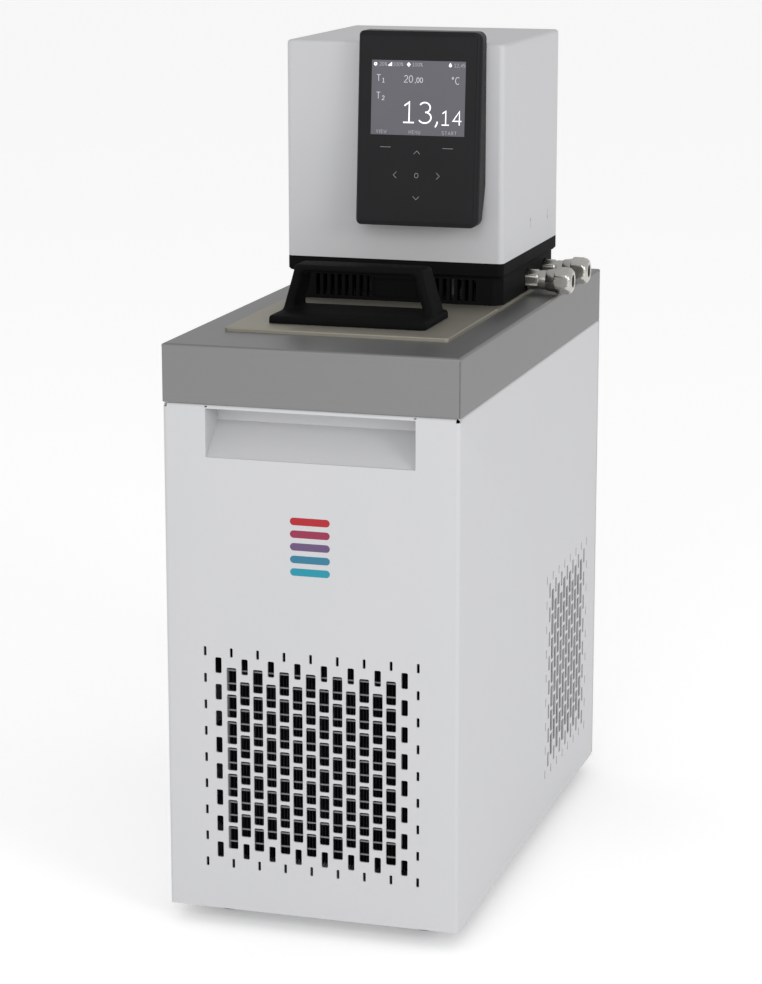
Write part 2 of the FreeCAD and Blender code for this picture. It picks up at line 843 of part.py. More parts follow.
def make_lid():
    """Stainless lid that rests on the rim, with its moulded handle and the screws that hold it."""
    lid = body("lid")
    block(lid, (-s.lid_width / 2, lid_start, rim_top), (s.lid_width, s.lid_length, s.lid_thickness))
    rounded(lid, s.lid_corner, upright)
    rounded(lid, s.lid_edge, lambda e: near(flat(e, "Z"), lid_top))
    base_half = s.handle_base_width / 2
    base_start = front + s.handle_base_front
    spots = [(side * (base_half - s.handle_leg), base_start + s.handle_front + s.handle_depth / 2)
             for side in (-1, 1)]
    for x, y in spots:
        bored(lid, (x, y, rim_top - s.lid_thickness), s.lid_screw_radius + s.seat_gap, 3 * s.lid_thickness)
    node(lid, "bath_lid")

    handle = body("handle")
    block(handle, (-base_half, base_start, lid_top),
          (s.handle_base_width, s.handle_base_length, s.handle_base_thickness))
    base_top = lid_top + s.handle_base_thickness
    bar_top = base_top + s.handle_rise
    arch_start = base_start + s.handle_front
    arch_end = arch_start + s.handle_depth
    pad(handle, "YZ_Plane", [(arch_start, base_top - s.handle_base_thickness / 2), (arch_start, base_top),
                             (arch_start + s.handle_lean, bar_top), (arch_end, bar_top),
                             (arch_end, base_top - s.handle_base_thickness / 2)],
        s.handle_base_width - 2 * s.handle_foot_flare, middle=True)
    foot_half = base_half - s.handle_foot_flare
    top_half = foot_half - s.handle_taper
    gap_foot = foot_half - s.handle_leg
    gap_top = top_half - s.handle_leg
    gap_roof = bar_top - s.handle_bar
    pocket(handle, "XZ_Plane", [(-gap_foot, base_top), (gap_foot, base_top), (gap_top, gap_roof),
                                (-gap_top, gap_roof)], s.casing_depth)
    for side in (-1, 1):
        beyond = side * (foot_half + s.handle_leg)
        pocket(handle, "XZ_Plane", [(side * foot_half, base_top), (beyond, base_top),
                                    (beyond, bar_top + s.handle_bar),
                                    (side * top_half, bar_top + s.handle_bar), (side * top_half, bar_top)],
               s.casing_depth)
    rounded(handle, s.handle_gap_corner, lambda e: near(flat(e, "Z"), gap_roof) and flat(e, "X") is not None)
    rounded(handle, s.handle_top_corner, lambda e: near(flat(e, "Z"), bar_top)
            and flat(e, "X") is not None)
    rounded(handle, s.handle_foot_flare - 0.2, lambda e: near(flat(e, "Z"), base_top)
            and near(flat(e, "X"), foot_half * (1 if e.BoundBox.XMin > 0 else -1)))
    for x, y in spots:
        bored(handle, (x, y, lid_top - s.seat_gap), s.lid_screw_radius, s.handle_base_thickness * 2)
    node(handle, "lid_handle")

    screws = []
    for number, (x, y) in enumerate(spots):
        head = rod(f"lid_screw_head_{number}", (x, y, rim_top - s.screw_head_height), s.screw_head_radius,
                   s.screw_head_height)
        shank = rod(f"lid_screw_shank_{number}", (x, y, rim_top), s.lid_screw_radius,
                    s.lid_thickness + s.handle_base_thickness)
        screws.append(fused(f"lid_screw_{number}", head, shank))
    node(group("lid_screw_set", screws), "lid_screws")


def make_bridge():
    """Stainless plate over the back of the bath, which carries the circulator."""
    bridge = body("bridge")
    block(bridge, (-s.lid_width / 2, bridge_start, rim_top),
          (s.lid_width, head_end - bridge_start, s.bridge_thickness))
    rounded(bridge, s.lid_corner, upright)
    deep = 3 * s.bridge_thickness
    low = rim_top - s.bridge_thickness
    bored(bridge, (0, pump_back, low), s.bridge_shaft_hole, deep)
    for y in (s.supply_back, s.return_back):
        bored(bridge, (s.pipe_inset, y, low), s.pipe_radius + s.seat_gap, deep)
    for x in (-s.probe_side, s.probe_side, s.level_probe_side):
        bored(bridge, (x, s.probe_back, low), s.probe_radius + s.seat_gap, deep)
    for y in (pump_back - s.heater_leg_gap, pump_back + s.heater_leg_gap):
        bored(bridge, (-s.heater_half, y, low), s.heater_tube_radius + s.seat_gap, deep)
    node(bridge, "bridge_plate")


def make_pedestal():
    """Black moulding under the head: a flange over a slimmer base with open ribs along its front."""
    pedestal = body("pedestal_moulding")
    half = s.head_width / 2
    low_half = half - s.pedestal_inset_side
    low_start = head_start + s.pedestal_inset_end
    low_length = s.head_depth - 2 * s.pedestal_inset_end
    block(pedestal, (-low_half, low_start, bridge_top), (2 * low_half, low_length, s.pedestal_height))
    bevelled(pedestal, s.pedestal_corner, upright)
    block(pedestal, (-half, head_start, pedestal_top), (s.head_width, s.head_depth, s.flange_height))
    rounded(pedestal, s.head_corner, lambda e: upright(e) and abs(abs(e.Vertexes[0].X) - float(half)) < 1e-3)
    bevelled(pedestal, s.flange_step, lambda e: near(flat(e, "Z"), pedestal_top)
             and (max(abs(e.BoundBox.XMin), abs(e.BoundBox.XMax)) > float(low_half) + 0.5
                  or e.BoundBox.YMin < float(low_start) - 0.5
                  or e.BoundBox.YMax > float(low_start + low_length) + 0.5))
    wall = s.pedestal_wall
    block(pedestal, (wall - low_half, low_start + wall, bridge_top - wall),
          (2 * low_half - 2 * wall, low_length - 2 * wall, s.pedestal_height + s.flange_height),
          cutting=True)
    opening = s.deck_opening
    block(pedestal, (-opening, pump_back - opening, pedestal_top), (2 * opening, 2 * opening,
                                                                    2 * s.flange_height), cutting=True)
    slots = []
    slot_width = s.rib_pitch - s.rib_width
    for number in range(int(s.rib_slots.value)):
        for side in (-1, 1):
            middle = side * (s.rib_field_inner + slot_width / 2 + number * s.rib_pitch)
            slots.append(box(f"rib_slot_{number}_{side + 1}",
                             (middle - slot_width / 2, low_start - wall, bridge_top + s.rib_sill),
                             (slot_width, 2.5 * wall, s.rib_slot_height)))
    panel = box("cover_recess", (-s.cover_plate_width / 2, low_start - wall, bridge_top + s.rib_sill),
                (s.cover_plate_width, wall + s.cover_plate_recess, s.cover_plate_height))
    pockets = [rod(f"connector_pocket_{number}", (low_half - 2 * wall, y, connector_level),
                   s.connector_pocket_radius, 4 * wall, "X")
               for number, y in enumerate((s.supply_back, s.return_back))]
    node(cut("pedestal_cut", pedestal, *slots, panel, *pockets), "pedestal")


def make_head():
    """White cover of the circulator head and the panel that closes its back."""
    half = s.head_width / 2
    cover = body("cover")
    block(cover, (-half, head_start, head_base), (s.head_width, s.head_depth, s.head_height))
    rounded(cover, s.head_corner, upright)
    rounded(cover, s.head_top_edge, lambda e: near(flat(e, "Z"), head_top))
    wall = s.head_wall
    block(cover, (wall - half, head_start + wall, head_base - wall),
          (s.head_width - 2 * wall, s.head_depth - 2 * wall, s.head_height), cutting=True)
    block(cover, (2 * wall - half, head_end - 2 * wall, head_base - wall),
          (s.head_width - 4 * wall, 3 * wall, s.head_height - wall), cutting=True)
    node(cover, "head_cover")

    panel = body("head_panel")
    panel_start = head_end - s.head_panel_recess - s.head_wall
    clear = 2 * s.head_wall + s.seat_gap
    block(panel, (clear - half, panel_start, head_base + s.seat_gap),
          (s.head_width - 2 * clear, s.head_wall, s.head_height - clear - s.seat_gap))
    block(panel, (-s.inlet_side - s.inlet_width / 2 - s.seat_gap, panel_start - s.head_wall,
                  head_base + s.inlet_lift - s.inlet_height / 2 - s.seat_gap),
          (s.inlet_width + 2 * s.seat_gap, 3 * s.head_wall, s.inlet_height + 2 * s.seat_gap), cutting=True)
    rocker_half = s.rocker_width / 2 + s.rocker_gap + s.rocker_wall + s.seat_gap
    rocker_reach = s.rocker_length / 2 + s.rocker_gap + s.rocker_wall + s.seat_gap
    block(panel, (s.rocker_side - rocker_half, panel_start - s.head_wall,
                  head_base + s.inlet_lift - rocker_reach),
          (2 * rocker_half, 3 * s.head_wall, 2 * rocker_reach), cutting=True)
    vents = []
    for number in range(int(s.head_vent_slots.value)):
        middle = (number - (s.head_vent_slots - 1) / 2) * s.head_vent_pitch
        vents.append(box(f"head_vent_{number}", (middle - s.head_vent_width / 2, panel_start - s.head_wall,
                                                 head_top - s.board_post - s.head_vent_height),
                         (s.head_vent_width, 3 * s.head_wall, s.head_vent_height)))
    node(cut("head_panel_cut", panel, *vents), "head_rear_panel")


def make_display():
    """Tilted display unit on the front of the head: housing, key foil and screen."""
    foot = head_top + s.display_rise - s.display_height
    top = head_top + s.display_rise
    wall = head_start
    front_foot = wall - s.display_foot_depth
    front_top = front_foot + s.display_height * tangent(s.display_lean)
    housing = body("display_shell")
    pad(housing, "YZ_Plane", [(front_foot, foot), (front_top, top), (wall, top),
                              (wall, foot + s.display_chamfer_height),
                              (front_foot + s.display_foot_length, foot)], s.display_width, middle=True)

    def corner(e):
        box_found = e.BoundBox
        tall = box_found.ZMax - box_found.ZMin > float(s.display_height) - 1
        sideways = box_found.XMax - box_found.XMin < 1e-4
        across = sideways and (near(flat(e, "Z"), top) or near(flat(e, "Z"), foot))
        return (tall and box_found.YMax < float(wall) - 1) or across

    rounded(housing, s.display_corner, corner)
    hollowed(housing, s.display_wall, lambda f: near(flat(f, "Y"), wall))
    place(housing, s.display_offset, 0, 0)

    margin = s.foil_margin
    foil_width = s.display_width - 2 * margin
    foil_height = s.display_height - 2 * margin

    def panel(name, low_x, sunk, low_z, size):
        """A flat piece let into the leaning front: sunk is square to that front, low_z is along it."""
        solid = box(name, (0, 0, 0), size)
        along, square = sine(s.display_lean), cosine(s.display_lean)
        return place(solid, low_x, front_foot + low_z * along + sunk * square,
                     foot + low_z * square - sunk * along, X_AXIS, -s.display_lean)

    foil_low = s.display_offset - foil_width / 2
    screen_low = s.display_offset - s.screen_width / 2
    gap = s.seat_gap / 4
    sink = panel("foil_sink", foil_low - gap, -s.display_wall, margin - gap,
                 (foil_width + 2 * gap, s.display_wall + s.foil_thickness, foil_height + 2 * gap))
    screen_sink = panel("screen_sink", screen_low - gap, -s.display_wall, s.screen_above_foot - gap,
                        (s.screen_width + 2 * gap, s.display_wall + s.screen_thickness,
                         s.screen_height + 2 * gap))
    node(cut("display_housing_cut", housing, sink, screen_sink), "display_housing")
    sheet = panel("foil_sheet", foil_low, 0, margin, (foil_width, s.foil_thickness, foil_height))
    window = panel("foil_window", screen_low - gap, -s.foil_thickness, s.screen_above_foot - gap,
                   (s.screen_width + 2 * gap, 3 * s.foil_thickness, s.screen_height + 2 * gap))
    node(cut("foil", sheet, window), "display_foil")
    node(panel("screen", screen_low, 0, s.screen_above_foot,
               (s.screen_width, s.screen_thickness, s.screen_height)), "display_screen")


def make_connectors():
    """Supply and return connectors through the pedestal's right side, each with its union nut."""
    for label, y in (("supply", s.supply_back), ("return", s.return_back)):
        level = connector_level
        tail = rod(label + "_tail", (s.connector_tail_start, y, level), s.connector_tail_radius,
                   s.connector_hex_start - s.connector_tail_start, "X")
        collar = rod(label + "_collar", (s.connector_hex_start - 2 * s.pipe_bore / 2, y, level),
                     s.connector_collar_radius, s.pipe_bore, "X")
        hexagon = doc.addObject("Part::Prism", label + "_hexagon")
        hexagon.Polygon = 6
        bind(hexagon, Circumradius=s.connector_hex / math.sqrt(3),
             Height=s.connector_hex_end - s.connector_hex_start)
        place(hexagon, s.connector_hex_start, y, level, *TURNS["X"])
        thread = rod(label + "_thread", (s.connector_hex_end, y, level), s.thread_radius,
                     s.thread_length, "X")
        bore = rod(label + "_bore", (s.connector_tail_start - s.pipe_bore, y, level), s.connector_bore,
                   s.casing_width, "X")
        connector = cut(label + "_connector_cut", fused(label + "_stem", tail, collar, hexagon, thread), bore)
        node(connector, label + "_connector")

        nut = body(label + "_nut")
        seat = s.connector_hex_end + s.thread_length + s.seat_gap - s.nut_start
        inner = s.thread_radius + s.thread_clearance
        turned(nut, [(inner, 0), (s.nut_radius, 0), (s.nut_radius, s.nut_length), (s.nut_bore, s.nut_length),
                     (s.nut_bore, seat), (inner, seat)])
        rounded(nut, s.nut_edge, lambda e: e.BoundBox.XMax > float(s.nut_radius) - 0.01
                and flat(e, "Z") is not None)
        node(place(nut, s.nut_start, y, level, *TURNS["X"]), label + "_union_nut")


def make_pump():
    """Motor in the head, the shaft down into the bath, and the pump housing on three rods."""
    pump_top = rim_top - s.pump_drop
    pump_low = pump_top - s.pump_housing_height
    wall = s.pump_housing_wall
    clearance = s.shaft_clearance

    rods = []
    for number in range(3):
        angle = math.radians(90 + 120 * number)
        x = s.pump_rod_circle * math.cos(angle)
        y = pump_back + s.pump_rod_circle * math.sin(angle)
        rods.append(rod(f"pump_rod_{number}", (x, y, pump_top), s.pump_rod_radius, rim_top - pump_top))
    node(group("rods", rods), "pump_rods")

    shell = rod("pump_shell", (0, pump_back, pump_low), s.pump_housing_radius, s.pump_housing_height)
    outlet = rod("pump_outlet", (0, pump_back, pump_low + s.pump_housing_height / 2), s.pipe_radius,
                 s.pump_housing_radius + s.pipe_bore, "X")
    outlet_bore = rod("pump_outlet_bore",
                      (s.impeller_radius, pump_back, pump_low + s.pump_housing_height / 2),
                      s.pipe_bore, s.pump_housing_radius, "X")
    cavity = rod("pump_cavity", (0, pump_back, pump_low + wall), s.pump_housing_radius - wall,
                 s.pump_housing_height - 2 * wall)
    intake = rod("pump_intake", (0, pump_back, pump_low - wall), s.pump_intake_radius, 3 * wall)
    passage = rod("pump_passage", (0, pump_back, pump_top - 2 * wall), s.shaft_radius + clearance, 3 * wall)
    housing = cut("pump_housing_cut", fused("pump_casting", shell, outlet), outlet_bore, cavity, intake,
                  passage)
    node(housing, "pump_housing")

    middle = pump_low + s.pump_housing_height / 2
    plate = rod("impeller_disc", (0, pump_back, middle + s.impeller_height / 2 - s.impeller_plate),
                s.impeller_radius, s.impeller_plate)
    hub = rod("impeller_hub", (0, pump_back, middle - s.impeller_height / 2), s.impeller_hub_radius,
              s.impeller_height)
    vanes = []
    for number in range(int(s.impeller_vanes.value)):
        vane = doc.addObject("Part::Box", f"impeller_vane_{number}")
        bind(vane, Length=s.impeller_radius - s.impeller_hub_radius, Width=s.vane_thickness,
             Height=s.impeller_height - s.impeller_plate / 2)
        angle = 360 / s.impeller_vanes.value * number
        reach = s.impeller_hub_radius - s.vane_thickness
        place(vane, reach * math.cos(math.radians(angle)),
              pump_back + reach * math.sin(math.radians(angle)), middle - s.impeller_height / 2,
              Z_AXIS, angle)
        vanes.append(vane)
    wheel = fused("impeller_wheel", plate, hub, *vanes)
    bore = rod("impeller_bore", (0, pump_back, pump_low), s.shaft_radius, s.pump_housing_height)
    node(cut("impeller_cut", wheel, bore), "pump_impeller")

    motor_low = bridge_top + s.motor_lift + s.bracket_plate
    shaft_low = middle - s.impeller_height / 2
    node(rod("shaft", (0, pump_back, shaft_low), s.shaft_radius, motor_low + s.shaft_in_motor - shaft_low),
         "pump_shaft")

    motor = body("motor")
    turned(motor, [(s.shaft_radius + clearance, 0), (s.motor_radius, 0), (s.motor_radius, s.motor_height),
                   (s.motor_cap_radius, s.motor_height), (s.motor_cap_radius,
                                                          s.motor_height + s.motor_cap_height),
                   (0, s.motor_height + s.motor_cap_height), (0, s.shaft_in_motor + clearance),
                   (s.shaft_radius + clearance, s.shaft_in_motor + clearance)])
    rounded(motor, s.head_corner, lambda e: near(flat(e, "Z"), s.motor_height)
            and e.BoundBox.XMax > float(s.motor_radius) - 0.01)
    node(place(motor, 0, pump_back, motor_low), "circulation_motor")

    half = s.bracket_half
    inset = half - s.bracket_post_inset
    plate = box("bracket_top", (-half, pump_back - half, motor_low - s.bracket_plate),
                (2 * half, 2 * half, s.bracket_plate))
    posts = [rod(f"bracket_post_{number}", (inset * x, pump_back + inset * y, bridge_top),
                 s.bracket_post_radius, s.motor_lift)
             for number, (x, y) in enumerate(((-1, -1), (1, -1), (1, 1), (-1, 1)))]
    hole = rod("bracket_hole", (0, pump_back, bridge_top), s.bridge_shaft_hole,
               s.motor_lift + 2 * s.bracket_plate)
    node(cut("bracket_cut", fused("bracket", plate, *posts), hole), "motor_bracket")


def make_bath_fittings():
    """Pipes, heater, cooling coil and probes that hang from the bridge plate into the bath."""
    level = connector_level
    pump_outlet = rim_top - s.pump_drop - s.pump_housing_height / 2
    outlet_end = s.pump_housing_radius + s.pipe_bore
    supply = [(outlet_end, s.supply_back, pump_outlet), (s.pipe_inset, s.supply_back, pump_outlet),
              (s.pipe_inset, s.supply_back, level), (s.connector_tail_start, s.supply_back, level)]
    node(feature("supply_tube", tube(supply, s.pipe_bend, s.pipe_radius, s.pipe_bore)), "supply_pipe")
    returning = [(s.pipe_inset, s.return_back, rim_top - s.return_drop), (s.pipe_inset, s.return_back, level),
                 (s.connector_tail_start, s.return_back, level)]
    node(feature("return_tube", tube(returning, s.pipe_bend, s.pipe_radius, s.pipe_bore)), "return_pipe")

    low = tank_bottom + s.tank_gauge + s.heater_clear_floor
    half = s.heater_half
    legs = (pump_back - s.heater_leg_gap, pump_back + s.heater_leg_gap)
    top = bridge_top + s.heater_leg_gap
    heater = [(-half, legs[0], top), (-half, legs[0], low), (-half, pump_back - half, low),
              (half, pump_back - half, low), (half, pump_back + half, low), (-half, pump_back + half, low),
              (-half, legs[1], low), (-half, legs[1], top)]
    node(feature("heater_tube", tube(heater, s.heater_leg_gap * 0.5, s.heater_tube_radius)), "heater_coil")

    node(feature("coil_tube", tube(coil_route(), s.coil_bend, s.coil_tube_radius)), "cooling_coil")

    probes = {"temperature_probe": (-s.probe_side,), "level_probe": (s.probe_side, s.level_probe_side)}
    for label, sides in probes.items():
        rods = [rod(f"{label}_{number}", (x, s.probe_back, rim_top - s.probe_length), s.probe_radius,
                    s.probe_length + s.bridge_thickness + s.heater_leg_gap)
                for number, x in enumerate(sides)]
        node(rods[0] if len(rods) == 1 else group(label + "_pair", rods), label)


def coil_route():
    """The cooling tube: in through the tank's back wall, down its turns and out again."""
    lead_end = bath_end + s.tank_gauge + s.foam_gap + s.insulation_side + s.line_radius
    lead = rim_top - s.coil_lead_drop
    top = rim_top - s.coil_drop
    points = [(-s.coil_feed_side, lead_end, lead), (-s.coil_feed_side, s.coil_back, lead),
              (-s.coil_feed_side, s.coil_back, top)]
    corners = ((s.coil_right, s.coil_back), (s.coil_right, s.coil_front), (-s.coil_left, s.coil_front),
               (-s.coil_left, s.coil_back))
    count = 4 * int(s.coil_turns.value) - 1
    for number in range(count):
        x, y = corners[number % 4]
        points.append((x, y, top - number * s.coil_pitch / 4))
    last = top - count * s.coil_pitch / 4
    inner = s.coil_back - 1.3 * s.coil_bend
    rise = -s.coil_suction_side
    points += [(-s.coil_left, inner - 2 * s.coil_bend, last), (rise, inner, last), (rise, inner, lead),
               (rise, lead_end, lead)]
    return points


def make_head_fittings():
    """Control board, mains inlet and mains rocker on the head's rear panel."""
    panel_start = head_end - s.head_panel_recess - s.head_wall
    panel_end = head_end - s.head_panel_recess
    level = head_base + s.inlet_lift
    board_start = panel_start - s.board_post - s.board_thickness
    board_low = head_base + s.board_lift
    board = box("board_sheet", (-s.board_width / 2, board_start, board_low),
                (s.board_width, s.board_thickness, s.board_height))
    inset = 2 * s.board_post_radius
    posts = [rod(f"board_post_{number}", (side * (s.board_width / 2 - inset), board_start,
                                          board_low + rise), s.board_post_radius,
                 s.board_post + s.board_thickness, "Y")
             for number, (side, rise) in enumerate(((-1, inset), (1, inset), (-1, s.board_height - inset),
                                                    (1, s.board_height - inset)))]
    chips = [box(f"board_part_{number}", (x, board_start - depth, board_low + z), (wide, depth, tall))
             for number, (x, z, wide, tall, depth) in enumerate(
                 ((s.board_width * -0.4, s.board_height * 0.2, s.board_width * 0.3, s.board_height * 0.5,
                   s.board_height * 0.4),
                  (s.board_width * 0.05, s.board_height * 0.3, s.board_width * 0.15, s.board_height * 0.2,
                   s.board_post * 0.3)))]
    node(fused("board", board, *posts, *chips), "control_board")

    inlet_low = (-s.inlet_side - s.inlet_width / 2, level - s.inlet_height / 2)
    well = box("inlet_block", (inlet_low[0], panel_end - s.inlet_depth, inlet_low[1]),
               (s.inlet_width, s.inlet_depth, s.inlet_height))
    lip = box("inlet_flange", (inlet_low[0] - s.inlet_lip, panel_end, inlet_low[1] - s.inlet_lip),
              (s.inlet_width + 2 * s.inlet_lip, s.inlet_plate, s.inlet_height + 2 * s.inlet_lip))
    hollow = box("inlet_hollow", (inlet_low[0] + s.inlet_plate, panel_end + s.inlet_plate - s.inlet_well,
                                  inlet_low[1] + s.inlet_plate),
                 (s.inlet_width - 2 * s.inlet_plate, s.inlet_well * 2, s.inlet_height - 2 * s.inlet_plate))
    socket = cut("inlet_socket", fused("inlet_frame", well, lip), hollow)
    pins = [box(f"inlet_pin_{number}", (-s.inlet_side + x - s.inlet_plate / 2, panel_end - s.inlet_well,
                                        level + z - 2), (s.inlet_plate, s.inlet_well, s.inlet_plate * 2))
            for number, (x, z) in enumerate(((-s.inlet_width / 4, -s.inlet_plate), (0, s.inlet_plate),
                                             (s.inlet_width / 4, -s.inlet_plate)))]
    node(fused("inlet", socket, *pins), "mains_inlet")

    gap = s.rocker_gap
    wall = s.rocker_wall
    half = s.rocker_width / 2 + gap
    reach = s.rocker_length / 2 + gap
    frame = box("rocker_block", (s.rocker_side - half - wall, panel_end - s.rocker_body_depth,
                                 level - reach - wall),
                (2 * half + 2 * wall, s.rocker_body_depth, 2 * reach + 2 * wall))
    rim = box("rocker_rim", (s.rocker_side - half - 2 * wall, panel_end, level - reach - 2 * wall),
              (2 * half + 4 * wall, wall, 2 * reach + 4 * wall))
    hollow = box("rocker_hollow", (s.rocker_side - half, panel_end + wall - s.rocker_body_depth,
                                   level - reach), (2 * half, s.rocker_body_depth * 2, 2 * reach))
    node(cut("rocker_frame_cut", fused("rocker_shell", frame, rim), hollow), "rocker_frame")

    rocker = body("rocker")
    end = s.rocker_length / 2
    slope = end * tangent(s.rocker_tilt)
    pad(rocker, "YZ_Plane", [(-s.rocker_root, -end), (s.rocker_crest + slope, -end), (s.rocker_crest, 0),
                             (s.rocker_crest + slope, end), (-s.rocker_root, end)], s.rocker_width,
        middle=True)
    place(rocker, s.rocker_side, panel_end, level, X_AXIS, s.rocker_tilt)
    node(rocker, "rocker_switch")


def make_compressor():
    """Hermetic compressor on rubber mounts, with its relay cover."""
    x = s.compressor_side
    y = s.compressor_back
    plate_low = tray_floor + s.mount_height
    pot_low = plate_low + s.compressor_plate
    radius = s.compressor_radius
    pot = body("compressor_pot")
    turned(pot, [(0, -s.compressor_plate / 2), (radius, -s.compressor_plate / 2),
                 (radius, s.compressor_height / 2 - s.compressor_seam),
                 (radius + s.compressor_seam, s.compressor_height / 2 - s.compressor_seam),
                 (radius + s.compressor_seam, s.compressor_height / 2 + s.compressor_seam),
                 (radius, s.compressor_height / 2 + s.compressor_seam), (radius, s.compressor_height),
                 (0, s.compressor_height)])
    rounded(pot, s.compressor_dome, lambda e: near(flat(e, "Z"), s.compressor_height)
            and e.BoundBox.XMax > float(radius) - 0.01)
    place(pot, x, y, pot_low)
    plate = box("compressor_plate", (x - s.compressor_plate_width / 2, y - s.compressor_plate_length / 2,
                                     plate_low),
                (s.compressor_plate_width, s.compressor_plate_length, s.compressor_plate))
    stubs = [rod("suction_stub", (-s.coil_suction_side, y, suction_height()), s.stub_radius,
                 radius + s.stub_length, "Y"),
             rod("discharge_stub", (discharge_side(), y - radius - s.stub_length, discharge_height()),
                 s.stub_radius, radius, "Y")]
    node(fused("compressor_shell", pot, plate, *stubs), "compressor")

    mounts = []
    reach_x = s.compressor_plate_width / 2 - s.mount_inset
    reach_y = s.compressor_plate_length / 2 - s.mount_inset
    for number, (across, along) in enumerate(((-1, -1), (1, -1), (1, 1), (-1, 1))):
        mounts.append(rod(f"mount_{number}", (x + across * reach_x, y + along * reach_y, tray_floor),
                          s.mount_radius, s.mount_height))
    node(group("mounts", mounts), "compressor_mounts")

    relay = box("relay_block", (x - radius - s.relay_depth, y - s.relay_width / 2,
                                pot_low + s.compressor_height / 2 + s.compressor_seam + 1),
                (s.relay_depth + radius / 2, s.relay_width, s.relay_height))
    body_of_pot = rod("relay_seat", (x, y, pot_low), radius + s.seat_gap, s.compressor_height)
    node(cut("relay_cut", relay, body_of_pot), "compressor_relay_cover")


def suction_height():
    return tray_floor + s.mount_height + s.compressor_height * 0.68


def discharge_height():
    return tray_floor + s.mount_height + s.compressor_height * 0.3


def discharge_side():
    return s.compressor_side + s.compressor_radius * 0.45


def make_condenser():
    """Finned condenser behind the front grille: fin block, end plates and return bends."""
    start = front + s.condenser_front
    low = s.foot_height + s.condenser_lift
    half = s.condenser_half
    comb = []
    gap = s.fin_pitch - s.fin_gauge
    count = int((2 * float(half) - float(s.fin_gauge)) / float(s.fin_pitch))
    notch_depth = (s.condenser_depth - s.fin_root) / 2
    first = -count * s.fin_pitch / 2
    for number in range(count):
        x = float(first + number * s.fin_pitch + s.fin_gauge / 2)
        for y in (float(start), float(start + s.condenser_depth - notch_depth)):
            comb.append(Part.makeBox(float(gap), float(notch_depth), float(s.condenser_height),
                                     Vector(x, y, float(low))))
    core = Part.makeBox(2 * float(half), float(s.condenser_depth), float(s.condenser_height),
                        Vector(-float(half), float(start), float(low)))
    node(feature("fin_block", core.cut(Part.makeCompound(comb))), "condenser_fins")

    height = low + s.condenser_height + s.end_plate_margin - tray_floor
    plates = [box(f"end_plate_{number}", (x, start, tray_floor),
                  (s.end_plate_gauge, s.condenser_depth, height))
              for number, x in enumerate((-half - s.end_plate_gauge, half))]
    node(group("end_plates", plates), "condenser_end_plates")

    middle = start + s.condenser_depth / 2
    centre = low + s.condenser_height / 2
    rows = int(s.bend_rows.value)
    bends = []
    for row_number in range(rows - 1):
        side = 1 if row_number % 2 else -1
        z = centre + (row_number - (rows - 2) / 2) * s.bend_pitch
        x = side * float(half + s.end_plate_gauge)
        loop = [(x, middle, z - s.bend_pitch / 2), (x + side * float(s.bend_pitch) / 2, middle,
                                                   z - s.bend_pitch / 2),
                (x + side * float(s.bend_pitch) / 2, middle, z + s.bend_pitch / 2),
                (x, middle, z + s.bend_pitch / 2)]
        bends.append(tube(loop, s.bend_pitch / 2 - 0.5, s.bend_tube_radius))
    node(feature("bends", Part.makeCompound(bends)), "condenser_bends")


def condenser_port(rise):
    """Where a refrigerant line meets the right end plate, at the top or the bottom tube row."""
    start = front + s.condenser_front
    centre = s.foot_height + s.condenser_lift + s.condenser_height / 2
    return (s.condenser_half + s.end_plate_gauge, start + s.condenser_depth / 2,
            centre + rise * (s.bend_rows - 1) / 2 * s.bend_pitch)


def make_fan():
    """Shroud behind the condenser, with the fan motor on four arms and the fan on its shaft."""
    start = front + s.condenser_front + s.condenser_depth
    level = grille_middle
    half = s.shroud_half
    ring_end = start + s.shroud_gauge + s.shroud_ring_depth
    plate = box("shroud_plate", (-half, start, level - half), (2 * half, s.shroud_gauge, 2 * half))
    ring = rod("shroud_ring", (0, start, level), s.shroud_ring_radius + s.shroud_gauge,
               ring_end - start, "Y")
    throat = rod("shroud_throat", (0, start - s.shroud_gauge, level), s.shroud_ring_radius,
                 s.casing_depth / 4, "Y")
    node(cut("shroud_cut", fused("shroud", plate, ring), throat), "fan_shroud")

    motor_start = ring_end + s.fan_motor_gap
    motor = rod("fan_can", (0, motor_start, level), s.fan_motor_radius, s.fan_motor_depth, "Y")
    socket = rod("fan_socket", (0, motor_start - s.fan_arm_gauge, level), s.fan_shaft_radius
                 + s.shaft_clearance, s.fan_shaft_length + s.fan_arm_gauge, "Y")
    arms = []
    reach = s.shroud_ring_radius + s.shroud_gauge
    for number, angle in enumerate((45, 135, 225, 315)):
        across = math.cos(math.radians(angle))
        up = math.sin(math.radians(angle))
        arm = Part.makeBox(float(reach), float(s.fan_arm_gauge), float(s.fan_arm_width),
                           Vector(0, 0, -float(s.fan_arm_width) / 2))
        leg = Part.makeBox(float(s.shroud_gauge), float(s.fan_motor_gap + s.fan_arm_gauge),
                           float(s.fan_arm_width), Vector(float(s.shroud_ring_radius),
                                                          -float(s.fan_motor_gap),
                                                          -float(s.fan_arm_width) / 2))
        bent = arm.fuse(leg)
        bent.rotate(Vector(), Y_AXIS, -angle)
        bent.translate(Vector(0, float(motor_start), float(level)))
        arms.append(feature(f"fan_arm_{number}", bent))
    node(cut("fan_motor_cut", fused("fan_frame", motor, *arms), socket), "fan_motor")

    hub_start = ring_end + s.fan_motor_gap - s.fan_shaft_length / 2 - s.fan_hub_depth
    hub = rod("fan_hub", (0, hub_start, level), s.fan_hub_radius, s.fan_hub_depth, "Y")
    shaft = rod("fan_shaft", (0, hub_start, level), s.fan_shaft_radius,
                motor_start + s.fan_shaft_length - s.shaft_clearance - hub_start, "Y")
    blades = [feature(f"fan_blade_{number}", fan_blade(360 / s.fan_blades.value * number, hub_start))
              for number in range(int(s.fan_blades.value))]
    node(fused("fan", hub, shaft, *blades), "fan_rotor")


